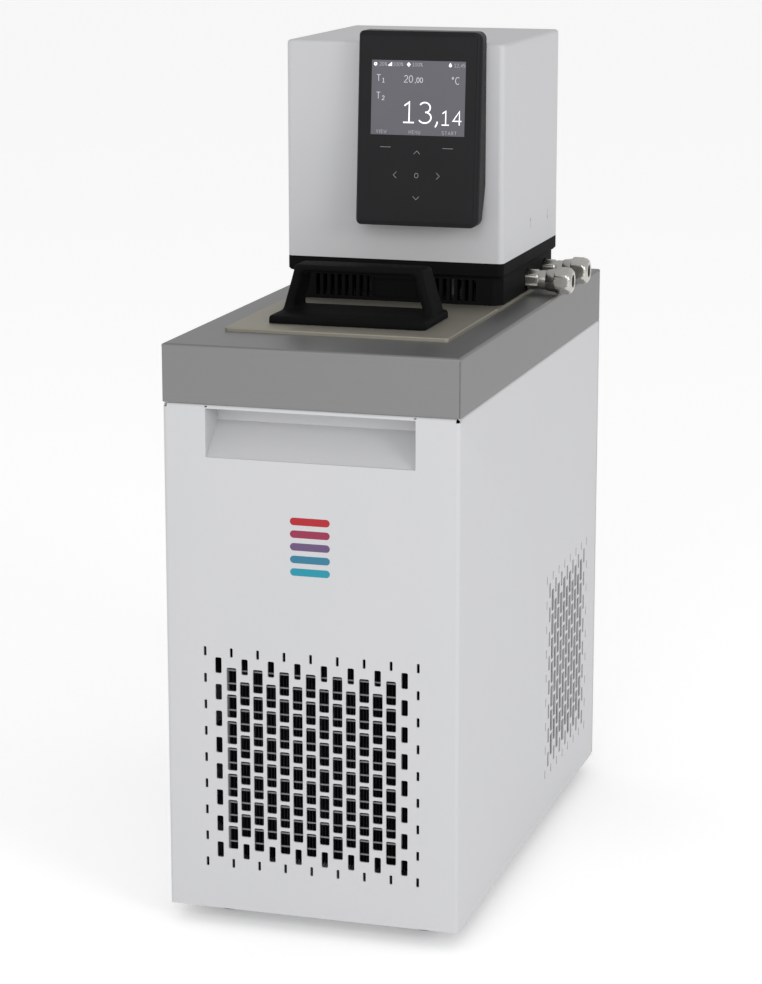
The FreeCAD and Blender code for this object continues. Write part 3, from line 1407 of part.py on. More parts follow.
def fan_blade(turn, hub_start):
    """A curved, pitched blade: part of a thin tube, cut to a ring sector."""
    chord = float(s.fan_blade_chord)
    bend = chord * 1.2
    outer = Part.makeCylinder(bend, float(s.fan_blade_radius), Vector(), X_AXIS)
    inner = Part.makeCylinder(bend - float(s.fan_blade_gauge), float(s.fan_blade_radius), Vector(), X_AXIS)
    strip = Part.makeBox(float(s.fan_blade_radius), chord, bend,
                         Vector(0, -chord / 2, 0))
    blade = outer.cut(inner).common(strip)
    blade.translate(Vector(0, 0, float(s.fan_blade_gauge) - bend))
    blade.rotate(Vector(), X_AXIS, float(s.fan_pitch_angle) - 90)
    depth = float(s.fan_hub_depth)
    blade.translate(Vector(0, depth / 2, 0))
    band = Part.makeCylinder(float(s.fan_blade_radius), depth, Vector(), Y_AXIS)
    band = band.cut(Part.makeCylinder(float(s.fan_hub_radius) * 0.9, depth, Vector(), Y_AXIS))
    blade = blade.common(band)
    blade.rotate(Vector(), Y_AXIS, turn)
    blade.translate(Vector(0, float(hub_start), float(grille_middle)))
    return blade


def make_refrigerant_lines():
    """Copper lines between compressor, condenser, drier and the coil's leads."""
    x = s.line_side
    y = s.compressor_back
    bend = s.line_bend
    stub_front = y - s.compressor_radius - s.stub_length
    port = condenser_port(1)
    discharge = [(discharge_side(), stub_front, discharge_height()),
                 (discharge_side(), s.drier_back - 2 * s.drier_radius, discharge_height()),
                 (x, s.drier_back - 2 * s.drier_radius, discharge_height()),
                 (x, s.drier_back - 2 * s.drier_radius, port[2]), (x, port[1], port[2]), port]
    node(feature("discharge_tube", tube(discharge, bend, s.line_radius)), "discharge_line")

    port = condenser_port(-1)
    liquid = [port, (x, port[1], port[2]), (x, s.drier_back, port[2]), (x, s.drier_back, s.drier_base)]
    node(feature("liquid_tube", tube(liquid, bend, s.line_radius)), "liquid_line")

    drier = body("drier")
    neck = s.line_radius * 1.5
    turned(drier, [(0, 0), (neck, 0), (s.drier_radius, s.drier_radius), (s.drier_radius, s.drier_height
                                                                         - s.drier_radius),
                   (neck, s.drier_height), (0, s.drier_height)])
    node(place(drier, x, s.drier_back, s.drier_base), "filter_drier")

    lead = rim_top - s.coil_lead_drop
    lead_end = bath_end + s.tank_gauge + s.foam_gap + s.insulation_side + s.line_radius
    run = s.line_run_height
    rise = s.line_rise_back
    expansion = [(x, s.drier_back, s.drier_base + s.drier_height), (x, s.drier_back, run), (x, rise, run),
                 (-s.coil_feed_side, rise, run), (-s.coil_feed_side, rise, lead),
                 (-s.coil_feed_side, lead_end, lead)]
    node(feature("expansion_tube", tube(expansion, s.line_radius * 2, s.line_radius)), "expansion_line")

    suction = [(-s.coil_suction_side, lead_end, lead), (-s.coil_suction_side, rise, lead),
               (-s.coil_suction_side, rise, suction_height()),
               (-s.coil_suction_side, y + s.compressor_radius + s.stub_length, suction_height())]
    node(feature("suction_tube", tube(suction, s.line_radius * 2, s.line_radius)), "suction_line")


def make_drain():
    """Drain line from the tank's floor to a quarter-turn valve with its nozzle through the back."""
    level = s.drain_height
    valve_back = panel_face
    valve_middle = valve_back - s.valve_depth / 2
    top = level + s.valve_thickness / 2
    line = [(s.drain_side, s.drain_back, tank_bottom), (s.drain_side, s.drain_back, s.drain_run_height),
            (s.drain_side, valve_middle, s.drain_run_height), (s.drain_side, valve_middle, top)]
    node(feature("drain_tube", tube(line, s.pipe_bend, s.pipe_radius, s.pipe_bore)), "drain_line")

    block_start = s.drain_side - s.valve_thickness / 2
    valve = box("valve_block", (block_start, valve_back - s.valve_depth, level - s.valve_thickness / 2),
                (s.valve_width, s.valve_depth, s.valve_thickness))
    nozzle = rod("nozzle", (s.drain_side, valve_middle, level), s.nozzle_radius,
                 s.valve_depth / 2 + s.sheet_gauge + s.nozzle_length, "Y")
    collar = rod("nozzle_collar", (s.drain_side, valve_middle, level), s.nozzle_collar,
                 s.valve_depth / 2 + s.sheet_gauge + s.nozzle_collar_step, "Y")
    way = rod("nozzle_way", (s.drain_side, valve_middle, level), s.nozzle_bore,
              s.valve_depth + s.nozzle_length * 2, "Y")
    down = rod("valve_way", (s.drain_side, valve_middle, level), s.nozzle_bore, s.valve_thickness)
    spindle_x = s.drain_side + s.knob_spacing
    seat = rod("spindle_seat", (spindle_x, valve_back - s.spindle_reach - s.spindle_clearance, level),
               s.spindle_radius + s.spindle_clearance, s.valve_depth, "Y")
    node(cut("valve_cut", fused("valve", valve, nozzle, collar), way, down, seat), "drain_valve")

    grip = rod("knob_grip", (spindle_x, back + s.knob_gap, level), s.knob_radius, s.knob_depth, "Y")
    spindle = rod("knob_spindle", (spindle_x, valve_back - s.spindle_reach, level), s.spindle_radius,
                  s.spindle_reach + s.knob_depth, "Y")
    scallops = []
    for number in range(int(s.knob_lobes.value)):
        angle = math.radians(360 / s.knob_lobes.value * number + 30)
        reach = s.knob_radius + s.knob_scallop * 0.4
        scallops.append(rod(f"knob_scallop_{number}",
                            (spindle_x + reach * math.cos(angle), back, level + reach * math.sin(angle)),
                            s.knob_scallop, s.knob_depth * 2, "Y"))
    node(cut("knob_cut", fused("knob", grip, spindle), *scallops), "drain_knob")


def make_panel_screws():
    """Screws that hold the rear panel to the casing's flanges."""
    screws = []
    for number, (x, z) in enumerate(panel_screw_spots()):
        head = rod(f"screw_head_{number}", (x, back, z), s.screw_head_radius, s.screw_head_height, "Y")
        shank = rod(f"screw_shank_{number}", (x, back - s.screw_length, z), s.screw_radius, s.screw_length,
                    "Y")
        screws.append(fused(f"screw_{number}", head, shank))
    node(group("screw_set", screws), "panel_screws")


def check_document():
    """Stops the script where an object failed or a sub-part is not sound."""
    doc.recompute()
    failed = [thing.Name for thing in doc.Objects if "Invalid" in thing.State or "Error" in thing.State]
    unsound = [thing.Label for thing in nodes
               if thing.Shape.isNull() or not thing.Shape.isValid() or not thing.Shape.Solids]
    if failed or unsound:
        raise RuntimeError(f"failed objects {failed}, unsound sub-parts {unsound}")


def write_parts():
    """Writes each sub-part, moved so that the origin lies under the middle of the whole outline."""
    whole = FreeCAD.BoundBox()
    for thing in nodes:
        whole.add(thing.Shape.optimalBoundingBox(False))
    shift = Vector(-whole.Center.x, -whole.Center.y, -whole.ZMin)
    os.makedirs("parts", exist_ok=True)
    for thing in nodes:
        shape = thing.Shape.copy()
        shape.translate(shift)
        shape.exportStep(f"parts/{thing.Label}.step")
        low = shape.BoundBox
        print(f"{thing.Label}: {len(shape.Solids)} solid, {shape.Volume / 1000:.1f} cm3, "
              f"z {low.ZMin:.1f} to {low.ZMax:.1f}")
    print(f"{len(nodes)} sub-parts, shift {shift.x:.3f}, {shift.y:.3f}, {shift.z:.3f}")


make_casing()
make_grip_recess()
make_rear_panel()
make_base()
make_bath()
make_lid()
make_bridge()
make_pedestal()
make_head()
make_display()
make_connectors()
make_pump()
make_bath_fittings()
make_head_fittings()
make_compressor()
make_condenser()
make_fan()
make_refrigerant_lines()
make_drain()
make_panel_screws()
check_document()
write_parts()
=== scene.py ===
# %% [markdown]
# # A refrigerated circulating bath
# The machine is a tall, narrow box of white powder-coated steel. A stainless bath is let into its
# top, and a white head with a tilted display stands over the back of the bath.
# The solid parts come from a packed engineering model. This lesson gives them real surfaces, and
# adds the shapes that the plain solids leave out, such as key symbols and rounded slot ends.

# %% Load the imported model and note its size
import math

import bmesh
import bpy
from mathutils import Matrix, Vector
from mathutils.geometry import delaunay_2d_cdt


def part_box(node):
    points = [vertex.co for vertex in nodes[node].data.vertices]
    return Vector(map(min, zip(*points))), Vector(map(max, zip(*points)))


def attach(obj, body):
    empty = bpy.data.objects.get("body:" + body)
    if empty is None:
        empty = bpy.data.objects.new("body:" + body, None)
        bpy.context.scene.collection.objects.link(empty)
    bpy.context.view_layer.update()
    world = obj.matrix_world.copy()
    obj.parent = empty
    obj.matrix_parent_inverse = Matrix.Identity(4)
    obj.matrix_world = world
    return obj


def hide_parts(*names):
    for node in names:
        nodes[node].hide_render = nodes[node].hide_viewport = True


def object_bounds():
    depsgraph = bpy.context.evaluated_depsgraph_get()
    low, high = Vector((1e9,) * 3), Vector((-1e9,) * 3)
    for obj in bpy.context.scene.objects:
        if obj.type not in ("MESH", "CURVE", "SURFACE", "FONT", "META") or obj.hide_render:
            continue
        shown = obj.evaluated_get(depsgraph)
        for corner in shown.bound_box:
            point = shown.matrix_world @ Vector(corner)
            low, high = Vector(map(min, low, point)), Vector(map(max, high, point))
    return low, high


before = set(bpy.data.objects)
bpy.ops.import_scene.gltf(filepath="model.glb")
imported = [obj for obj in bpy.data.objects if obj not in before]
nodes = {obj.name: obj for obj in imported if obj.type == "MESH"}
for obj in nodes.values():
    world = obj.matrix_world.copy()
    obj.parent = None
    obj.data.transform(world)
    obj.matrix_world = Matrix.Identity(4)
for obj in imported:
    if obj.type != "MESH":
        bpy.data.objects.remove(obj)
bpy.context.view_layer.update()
MM = 0.001
low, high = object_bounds()
print("overall millimetres", [round((b - a) / MM, 1) for a, b in zip(low, high)])

# %% [markdown]
# ## Where things are
# Every measure here is in millimetres about the middle of the casing's footprint, because that is how
# a maker's drawing gives them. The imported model's origin lies under the middle of the whole outline,
# pipes included, so one small shift carries a drawing point into the model's frame.

# %% From drawing millimetres to the model's metres
casing_low, casing_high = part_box("casing_wrap")
SHIFT = Vector(((casing_low[0] + casing_high[0]) / 2, casing_low[1] + 200 * MM, 0))


def at(x, y, z):
    """A drawing point, in the model's metres."""
    return Vector((x, y, z)) * MM + SHIFT


print("drawing origin in the model", [round(c / MM, 2) for c in SHIFT])

# %% [markdown]
# ## Camera
# The picture was taken from the right and a little above, through a long lens, so the upright edges
# nearly stay parallel. A long lens is set by its focal length on a 36 mm film, which here is measured
# along the upright picture's height. Two angles turn the camera: how far it looks to the left, and how
# far it looks down.

# %% Camera and framing
FRAME_HEIGHT_PX = 984
FOCAL_PX = 2912.17
LOOK_LEFT = 0.2919
LOOK_DOWN = 0.2237
CAMERA_PLACE = (567.9, -1930.7, 715.8)
FILM_MM = 36

lens = bpy.data.cameras.new("product_lens")
lens.sensor_width = FILM_MM
lens.lens = FILM_MM * FOCAL_PX / FRAME_HEIGHT_PX
lens.clip_end = 20
camera = bpy.data.objects.new("product_camera", lens)
camera.location = at(*CAMERA_PLACE)
camera.rotation_euler = (math.pi / 2 - LOOK_DOWN, 0, LOOK_LEFT)
bpy.context.scene.collection.objects.link(camera)
bpy.context.scene.camera = camera
print("lens", round(lens.lens, 1), "mm")

# %% [markdown]
# ## Light
# The machine stands on an endless white sweep in very even light. A bright surround gives that even
# light by itself. A broad lamp in front, a little above, fills the place under the display and leaves
# the top of the hand grip in shade. A smaller key lamp on the right shows how deep the grip is.

# %% Helpers for colours and nodes
scene = bpy.context.scene
scene.view_settings.view_transform = "Standard"
scene.view_settings.look = "None"


def linear(hex_colour):
    """An sRGB hex colour as the linear numbers that a shader works with."""
    shares = [int(hex_colour[i:i + 2], 16) / 255 for i in (1, 3, 5)]
    return [c / 12.92 if c <= 0.04045 else ((c + 0.055) / 1.055) ** 2.4 for c in shares] + [1.0]


def add_node(tree, kind, inputs=None, **settings):
    """Adds a shader node. An input is a value, or another node's socket to link."""
    new = tree.nodes.new(kind)
    for name, value in settings.items():
        setattr(new, name, value)
    for name, value in (inputs or {}).items():
        if isinstance(value, bpy.types.NodeSocket):
            tree.links.new(value, new.inputs[name])
        else:
            new.inputs[name].default_value = value
    return new


# %% Surround and lamps
SURROUND_STRENGTH = 0.7
MACHINE_MIDDLE = Vector((0, 0, 0.35))

world = bpy.data.worlds.new("white_sweep")
world.use_nodes = True
backdrop = world.node_tree.nodes["Background"]
backdrop.inputs["Color"].default_value = linear("#FFFFFF")
backdrop.inputs["Strength"].default_value = SURROUND_STRENGTH
scene.world = world


def add_lamp(name, place, size, watts):
    """A square soft lamp that faces the machine."""
    light = bpy.data.lights.new(name, "AREA")
    light.size = size
    light.energy = watts
    lamp = bpy.data.objects.new(name, light)
    lamp.location = place
    lamp.rotation_euler = (MACHINE_MIDDLE - place).to_track_quat("-Z", "Y").to_euler()
    scene.collection.objects.link(lamp)


add_lamp("key_lamp", Vector((2.5, -1.8, 1.2)), size=0.9, watts=18)
add_lamp("front_lamp", Vector((0.3, -3.0, 1.5)), size=1.4, watts=20)
print("lamps:", [lamp.name for lamp in bpy.data.lights])

# %% [markdown]
# ## Finishes
# Each finish starts from what the real surface is and how it was made. Most of them are one
# Principled shader with two additions: a pattern that varies its roughness or colour a little, and a
# bump that gives the surface its texture. Texture sizes are real ones: one over the size in metres
# is the pattern's scale.


# %% A start for every finish
def per_metre(size_mm):
    """The scale at which a pattern repeats once per size."""
    return 1 / (size_mm * MM)


def start_finish(name, colour, metallic=0.0, roughness=0.5):
    """A material, its node tree and its Principled shader, with object coordinates for patterns."""
    material = bpy.data.materials.new(name)
    material.use_nodes = True
    tree = material.node_tree
    shader = tree.nodes["Principled BSDF"]
    shader.inputs["Base Color"].default_value = linear(colour)
    shader.inputs["Metallic"].default_value = metallic
    shader.inputs["Roughness"].default_value = roughness
    place = add_node(tree, "ShaderNodeTexCoord").outputs["Object"]
    return material, tree, shader, place


def noise(tree, place, scale, detail):
    """The grey value of a noise pattern."""
    pattern = add_node(tree, "ShaderNodeTexNoise", {"Vector": place, "Scale": scale, "Detail": detail})
    return pattern.outputs["Fac"]


def vary_colour(tree, shader, fac, dark, light):
    """Runs the base colour from a dark to a light shade with a pattern."""
    mix = add_node(tree, "ShaderNodeMix", {0: fac, 6: linear(dark), 7: linear(light)}, data_type="RGBA")
    tree.links.new(mix.outputs[2], shader.inputs["Base Color"])


def vary_roughness(tree, shader, fac, smooth, rough):
    """Runs the roughness between two values with a pattern."""
    spread = add_node(tree, "ShaderNodeMapRange", {"Value": fac, "To Min": smooth, "To Max": rough})
    tree.links.new(spread.outputs["Result"], shader.inputs["Roughness"])


def add_bump(tree, shader, height, depth_mm, strength=1.0):
    """Gives the surface a relief of a real depth."""
    bump = add_node(tree, "ShaderNodeBump", {"Height": height, "Distance": depth_mm * MM,
                                             "Strength": strength})
    tree.links.new(bump.outputs["Normal"], shader.inputs["Normal"])


# %% [markdown]
# ### Powder coat
# The casing is folded sheet steel with a baked polyester powder on it. The powder melts into a film
# with a faint orange peel about a millimetre across, too soft to see as dots, but it breaks up
# reflections. The slow change of shade is the film's thickness.


# %% Powder coat
def powder_coat(name, colour, shade):
    """Baked powder with a soft orange peel."""
    material, tree, shader, place = start_finish(name, colour, roughness=0.42)
    shader.inputs["IOR"].default_value = 1.5
    peel = noise(tree, place, per_metre(1.4), 2.0)
    cloud = noise(tree, place, per_metre(70), 1.0)
    vary_colour(tree, shader, cloud, shade, colour)
    vary_roughness(tree, shader, cloud, 0.38, 0.47)
    add_bump(tree, shader, peel, 0.02, 0.35)
    return material


casing_coat = powder_coat("powder_coat_white", "#C4C4C6", "#C1C2C4")
head_coat = powder_coat("moulded_white_paint", "#C1C1C3", "#BDBEC0")

# %% [markdown]
# ### Brushed stainless steel
# The rim, lid and bath are 1.2 mm stainless sheet, ground with a fine belt. The belt leaves hairline
# scratches that run along the sheet and stretch every highlight across them. The real lines are a
# tenth of a millimetre apart, which no picture of this size shows, so they are drawn at about half a
# millimetre. Upright faces are brushed along their length and the top from front to back.


# %% Brushed stainless steel
def brushed_steel(name, colour, shade, smooth, rough, hairline_mm=0.5):
    """Steel with hairlines along its upright faces and from front to back on its top."""
    material, tree, shader, place = start_finish(name, colour, metallic=1.0, roughness=rough)
    facing = add_node(tree, "ShaderNodeNewGeometry").outputs["Normal"]
    upness = add_node(tree, "ShaderNodeSeparateXYZ", {"Vector": facing}).outputs["Z"]
    is_top = add_node(tree, "ShaderNodeMath", {0: upness, 1: 0.6}, operation="GREATER_THAN").outputs[0]
    fine = per_metre(hairline_mm)
    slow = per_metre(55)
    sides = add_node(tree, "ShaderNodeMapping", {"Vector": place, "Scale": (slow, slow, fine)})
    tops = add_node(tree, "ShaderNodeMapping", {"Vector": place, "Scale": (fine, slow, slow)})
    lines = add_node(tree, "ShaderNodeMix", {"Factor": is_top, "A": noise(tree, sides.outputs[0], 1.0, 3.0),
                                             "B": noise(tree, tops.outputs[0], 1.0, 3.0)},
                     data_type="FLOAT").outputs[0]
    vary_colour(tree, shader, lines, shade, colour)
    vary_roughness(tree, shader, lines, smooth, rough)
    add_bump(tree, shader, lines, 0.01, 0.5)
    return material


rim_steel = brushed_steel("brushed_stainless_rim", "#8B8B8B", "#858585", 0.42, 0.5)
lid_steel = brushed_steel("ground_stainless_lid", "#A8A498", "#9B978C", 0.5, 0.62)
bath_steel = brushed_steel("drawn_stainless_bath", "#A8A6A2", "#9C9A96", 0.22, 0.34, 0.8)
zinc_sheet = brushed_steel("zinc_plated_sheet", "#A7A9AB", "#8F9193", 0.35, 0.55, 1.2)

# %% [markdown]
# ### Moulded black plastics
# The pedestal and the lid's handle are black ABS from a spark-eroded mould, which leaves a fine
# leathery grain. The display's housing is the same plastic from a smoother mould. The key foil is a
# polyester film, so it is flatter and a touch glossier.


# %% Moulded plastics and rubber
def moulded_plastic(name, colour, shade, roughness, grain_mm=0.35, grain_depth=0.03, gloss=0.06):
    """Plastic, rubber or paint with a fine grain of a real size and depth."""
    material, tree, shader, place = start_finish(name, colour, roughness=roughness)
    shader.inputs["IOR"].default_value = 1.53
    shader.inputs["Specular IOR Level"].default_value = gloss
    grain = noise(tree, place, per_metre(grain_mm), 2.0)
    flow = noise(tree, place, per_metre(25), 2.0)
    vary_colour(tree, shader, flow, shade, colour)
    vary_roughness(tree, shader, flow, roughness - 0.05, roughness + 0.05)
    add_bump(tree, shader, grain, grain_depth, 0.6)
    return material


black_abs = moulded_plastic("grained_black_abs", "#141415", "#101011", 0.6, gloss=0.025)
display_abs = moulded_plastic("smooth_black_abs", "#1A1A1C", "#171719", 0.42, 0.25, 0.012, 0.12)
key_foil = moulded_plastic("polyester_key_foil", "#1C1C1E", "#19191B", 0.36, 0.2, 0.006, 0.15)
foot_rubber = moulded_plastic("nitrile_rubber", "#1B1B1B", "#141414", 0.7, 0.6, 0.03)
grey_nylon = moulded_plastic("grey_nylon", "#3A3D40", "#313437", 0.5)
pump_pps = moulded_plastic("natural_pps", "#B9B5A8", "#A9A598", 0.45)
foam_board = moulded_plastic("foam_insulation", "#D8CFAE", "#C4BA96", 0.85, 2.0, 0.3)
board_resin = moulded_plastic("green_circuit_board", "#1E5A36", "#17472B", 0.4, 1.5, 0.05)

# %% [markdown]
# ### Plated and bare metals
# The pipe connectors are nickel-plated brass with a satin, slightly warm surface. The refrigerant
# lines are drawn copper, which goes brown in patches. The condenser's fins and pipe bends are coloured
# near black, which is painted shade for the dark inside of the casing, and the guard in front of it is
# thin wire with a grey coat.


# %% Plated and bare metals
def worn_metal(name, colour, shade, smooth, rough, patch_mm):
    """Bare metal that is duller in patches."""
    material, tree, shader, place = start_finish(name, colour, metallic=1.0, roughness=rough)
    patches = noise(tree, place, per_metre(patch_mm), 4.0)
    vary_colour(tree, shader, patches, shade, colour)
    vary_roughness(tree, shader, patches, smooth, rough)
    add_bump(tree, shader, patches, 0.01, 0.3)
    return material


satin_nickel = worn_metal("satin_nickel_plate", "#CCCAC5", "#B8B6B1", 0.22, 0.3, 4)
drawn_copper = worn_metal("drawn_copper", "#C97B52", "#8F5638", 0.25, 0.5, 9)
fin_aluminium = worn_metal("mill_aluminium", "#8A8C8E", "#77797B", 0.35, 0.5, 3)
# The fins' near black colour is painted shade for the dark inside of the casing behind the grille.
painted_shade_fins = moulded_plastic("fins_in_painted_shade", "#343538", "#242527", 0.6, 1.5, 0.02)
guard_coat = moulded_plastic("grey_coated_wire", "#8F9092", "#838486", 0.45, 1.0, 0.01, 0.2)
zinc_screw = worn_metal("zinc_plated_screws", "#B8BABD", "#9A9C9F", 0.3, 0.45, 2)
stoved_enamel = moulded_plastic("stoved_black_enamel", "#121213", "#0D0D0E", 0.3, 1.5, 0.02)
motor_enamel = moulded_plastic("grey_motor_enamel", "#54575B", "#4A4D50", 0.45, 1.2, 0.03)

# %% [markdown]
# ### Which solid wears which finish
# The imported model's solids come in plain colours. One table says what each is made of, so that a
# change of finish is one line, and the cell prints any solid that the table forgets.

# %% Give every solid its finish
finish_of = {
    casing_coat: ["casing_wrap", "rear_panel", "grip_recess"],
    head_coat: ["head_cover"],
    rim_steel: ["bath_rim"],
    lid_steel: ["bath_lid", "bridge_plate"],
    bath_steel: ["bath_tank", "pump_shaft", "pump_rods", "heater_coil", "cooling_coil", "supply_pipe",
                 "return_pipe", "temperature_probe", "level_probe", "drain_line"],
    zinc_sheet: ["base_tray", "motor_bracket", "condenser_end_plates"],
    black_abs: ["pedestal", "lid_handle", "head_rear_panel", "mains_inlet", "rocker_frame",
                "rocker_switch", "compressor_relay_cover", "fan_shroud"],
    display_abs: ["display_housing"],
    key_foil: ["display_foil", "display_screen"],
    foot_rubber: ["foot_front_left", "foot_front_right", "foot_rear_left", "foot_rear_right",
                  "compressor_mounts"],
    grey_nylon: ["drain_knob"],
    pump_pps: ["pump_housing", "pump_impeller"],
    foam_board: ["tank_insulation"],
    board_resin: ["control_board"],
    satin_nickel: ["supply_connector", "return_connector", "supply_union_nut", "return_union_nut",
                   "drain_valve"],
    drawn_copper: ["discharge_line", "liquid_line", "expansion_line", "suction_line", "filter_drier"],
    fin_aluminium: ["fan_rotor"],
    # Fins and bends wear near black painted shade for the casing's inside.
    painted_shade_fins: ["condenser_fins", "condenser_bends"],
    zinc_screw: ["foot_screws", "lid_screws", "panel_screws"],
    stoved_enamel: ["compressor"],
    motor_enamel: ["circulation_motor", "fan_motor"],
}
for material, names in finish_of.items():
    for name in names:
        for material_slot in nodes[name].material_slots:
            material_slot.material = material
dressed = {name for names in finish_of.values() for name in names}
print("solids without a finish:", sorted(set(nodes) - dressed))

# %% [markdown]
# ## Floor
# The floor is a wide white sheet, lit a little from behind like a studio's light table. That makes it
# melt into the surround, and it only shows where the machine shades it.

# %% Floor
FLOOR_GLOW, FLOOR_REACH = 0.26, 14.0

floor_paint, _, shader, _ = start_finish("white_light_table", "#FAFAFA", roughness=0.9)
shader.inputs["Emission Color"].default_value = linear("#FFFFFF")
shader.inputs["Emission Strength"].default_value = FLOOR_GLOW
floor_mesh = bpy.data.meshes.new("floor")
corners = [(x * FLOOR_REACH, y * FLOOR_REACH, 0) for x, y in ((-1, -1), (1, -1), (1, 1), (-1, 1))]
floor_mesh.from_pydata(corners, [], [(0, 1, 2, 3)])
floor_mesh.materials.append(floor_paint)
floor = bpy.data.objects.new("floor", floor_mesh)
scene.collection.objects.link(floor)
print("floor:", 2 * FLOOR_REACH, "m wide")

# %% [markdown]
# ## Making pieces
# Most pieces are drawn flat in millimetres and then put in their place by one matrix, or point by
# point by a rule. Both ways end the same: a mesh, a finish and the body that the piece moves with.

# %% A piece from points and faces
def new_piece(name, points, faces, material, slot, body="machine", smooth_angle=None):
    """A piece of the machine from points in the model's metres."""
    mesh = bpy.data.meshes.new(name)
    mesh.from_pydata(points, [], faces)
    mesh.materials.append(material)
    built = bmesh.new()
    built.from_mesh(mesh)
    bmesh.ops.recalc_face_normals(built, faces=built.faces)
    built.to_mesh(mesh)
    built.free()
    if smooth_angle:
        mesh.shade_smooth()
        mesh.set_sharp_from_angle(angle=math.radians(smooth_angle))
    piece = bpy.data.objects.new(name, mesh)
    scene.collection.objects.link(piece)
    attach(piece, body)
    return piece


def arc(cx, cy, rx, ry, start, stop, steps=14):
    """Points along an ellipse's arc, with its angles in degrees."""
    angles = [math.radians(start + (stop - start) * i / steps) for i in range(steps + 1)]
    return [(cx + rx * math.cos(a), cy + ry * math.sin(a)) for a in angles]


def closed_edges(first, count):
    """Edges that join a run of points into a loop."""
    return [(first + i, first + (i + 1) % count) for i in range(count)]


def skin(first, ring_count, around, closed=False):
    """Faces between neighbouring rings of points, and from the last to the first if closed."""
    starts = [first + i * around for i in range(ring_count)]
    following = starts[1:] + starts[:1] if closed else starts[1:]
    return [(a + j, a + (j + 1) % around, b + (j + 1) % around, b + j)
            for a, b in zip(starts, following) for j in range(around)]


# %% [markdown]
# ## Casing
# The casing's front and sides are one sheet. In the workshop it is cut flat first, slots and all, and
# then folded, so the mesh is made in the same order: a flat blank with holes, then a rule that says
# where each point of the blank lands when the bends are made. Holes cut in a solid with booleans would
# also work, but this way the slot ends can be rounded as the punch leaves them, at no cost.

# %% Slots of the two grilles
SLOTS = {"small": (2.0, 6.3, 0.6), "medium": (4.5, 10.8, 1.0), "large": (6.8, 16.0, 1.1)}
SLOT_PITCH, ROW_PITCH, ROWS = 9.1, 18.2, 9
FRONT_COLUMNS, SIDE_COLUMNS = 17, 15
GRILLE_MIDDLE, SIDE_GRILLE_DEPTH = 117, 305


def grille(columns, middle_across, middle_up):
    """Each slot's middle, width, height and corner radius: staggered, and smaller towards the edge."""
    for column in range(columns):
        count = ROWS - column % 2
        edge = min(column, columns - 1 - column)
        for number in range(count):
            kind = "large"
            if number in (0, count - 1):
                kind = "medium" if column % 2 else "small"
            if edge < 2:
                kind = ("small", "medium")[edge]
            across = middle_across + (column - (columns - 1) / 2) * SLOT_PITCH
            up = middle_up + (number - (count - 1) / 2) * ROW_PITCH
            yield across, up, *SLOTS[kind]


def rounded_outline(across, up, width, height, radius, steps=3):
    """Corner points of a rectangle with rounded corners, going round."""
    points = []
    for side, rise, start in ((1, 1, 0), (-1, 1, 90), (-1, -1, 180), (1, -1, 270)):
        centre_x = across + side * (width / 2 - radius)
        centre_y = up + rise * (height / 2 - radius)
        points += arc(centre_x, centre_y, radius, radius, start, start + 90, steps)
    return points


# %% [markdown]
# ### How the sheet folds
# A bend is an arc, and it takes up as much sheet as the arc is long. So a fold is a list of straight
# runs and arcs, and a distance along the sheet says which one a point is on. Two such lists fold the
# casing: one goes round it in plan, and one goes up it and over the top flange.

# %% A folded section


class Fold:
    """A section of the folded sheet's outer face: straight runs and bends, measured along it."""

    def __init__(self, start, heading, moves):
        self.stations, self.moves = [0.0], []
        point, angle = Vector(start), math.radians(heading)
        for length, turn in moves:
            self.moves.append((point.copy(), angle, length, math.radians(turn)))
            point, angle = self.along(self.moves[-1], length)
            self.stations.append(self.stations[-1] + length)

    @staticmethod
    def along(move, distance):
        """The point and heading at a distance along one run or bend."""
        point, angle, length, turn = move
        if not turn:
            return point + Vector((math.cos(angle), math.sin(angle))) * distance, angle
        radius = length / turn
        swept = angle + turn * distance / length
        step = Vector((math.sin(swept) - math.sin(angle), math.cos(angle) - math.cos(swept)))
        return point + step * radius, swept

    def at(self, station):
        """The point on the section at a distance along it, and the heading there in radians."""
        for move, start, stop in zip(self.moves, self.stations, self.stations[1:]):
            if station <= stop + 1e-9:
                return self.along(move, station - start)
        return self.along(self.moves[-1], station - self.stations[-2])

    def creases(self, steps):
        """Stations at which the flat sheet needs an edge, so that its bends come out round."""
        found = []
        for (_, _, length, turn), start in zip(self.moves, self.stations):
            if turn:
                found += [start + length * i / steps for i in range(steps + 1)]
        return found


def quarter(radius):
    """How much sheet a right-angled bend takes up."""
    return math.pi / 2 * radius


# %% The casing's two sections
SHEET = 1.2
BOTTOM, TOP = 12.0, 355.0
FRONT, WRAP_DEPTH, HALF_WIDTH = -200, 398.8, 100
FRONT_BEND, TOP_BEND, REAR_BEND = 3.0, 2.5, 1.4
FLANGE, FRONT_FLANGE = 14, 26

side_run = WRAP_DEPTH - FRONT_BEND - REAR_BEND
around = Fold((FLANGE - HALF_WIDTH, WRAP_DEPTH + FRONT), 180,
              [(FLANGE - REAR_BEND, 0), (quarter(REAR_BEND), 90), (side_run, 0),
               (quarter(FRONT_BEND), 90), (2 * (HALF_WIDTH - FRONT_BEND), 0), (quarter(FRONT_BEND), 90),
               (side_run, 0), (quarter(REAR_BEND), 90), (FLANGE - REAR_BEND, 0)])
upright = Fold((0, BOTTOM), 90, [(TOP - BOTTOM - TOP_BEND, 0), (quarter(TOP_BEND), 90),
                                 (FRONT_FLANGE - TOP_BEND, 0)])
print("flat blank:", round(around.stations[-1], 1), "x", round(upright.stations[-1], 1), "mm")


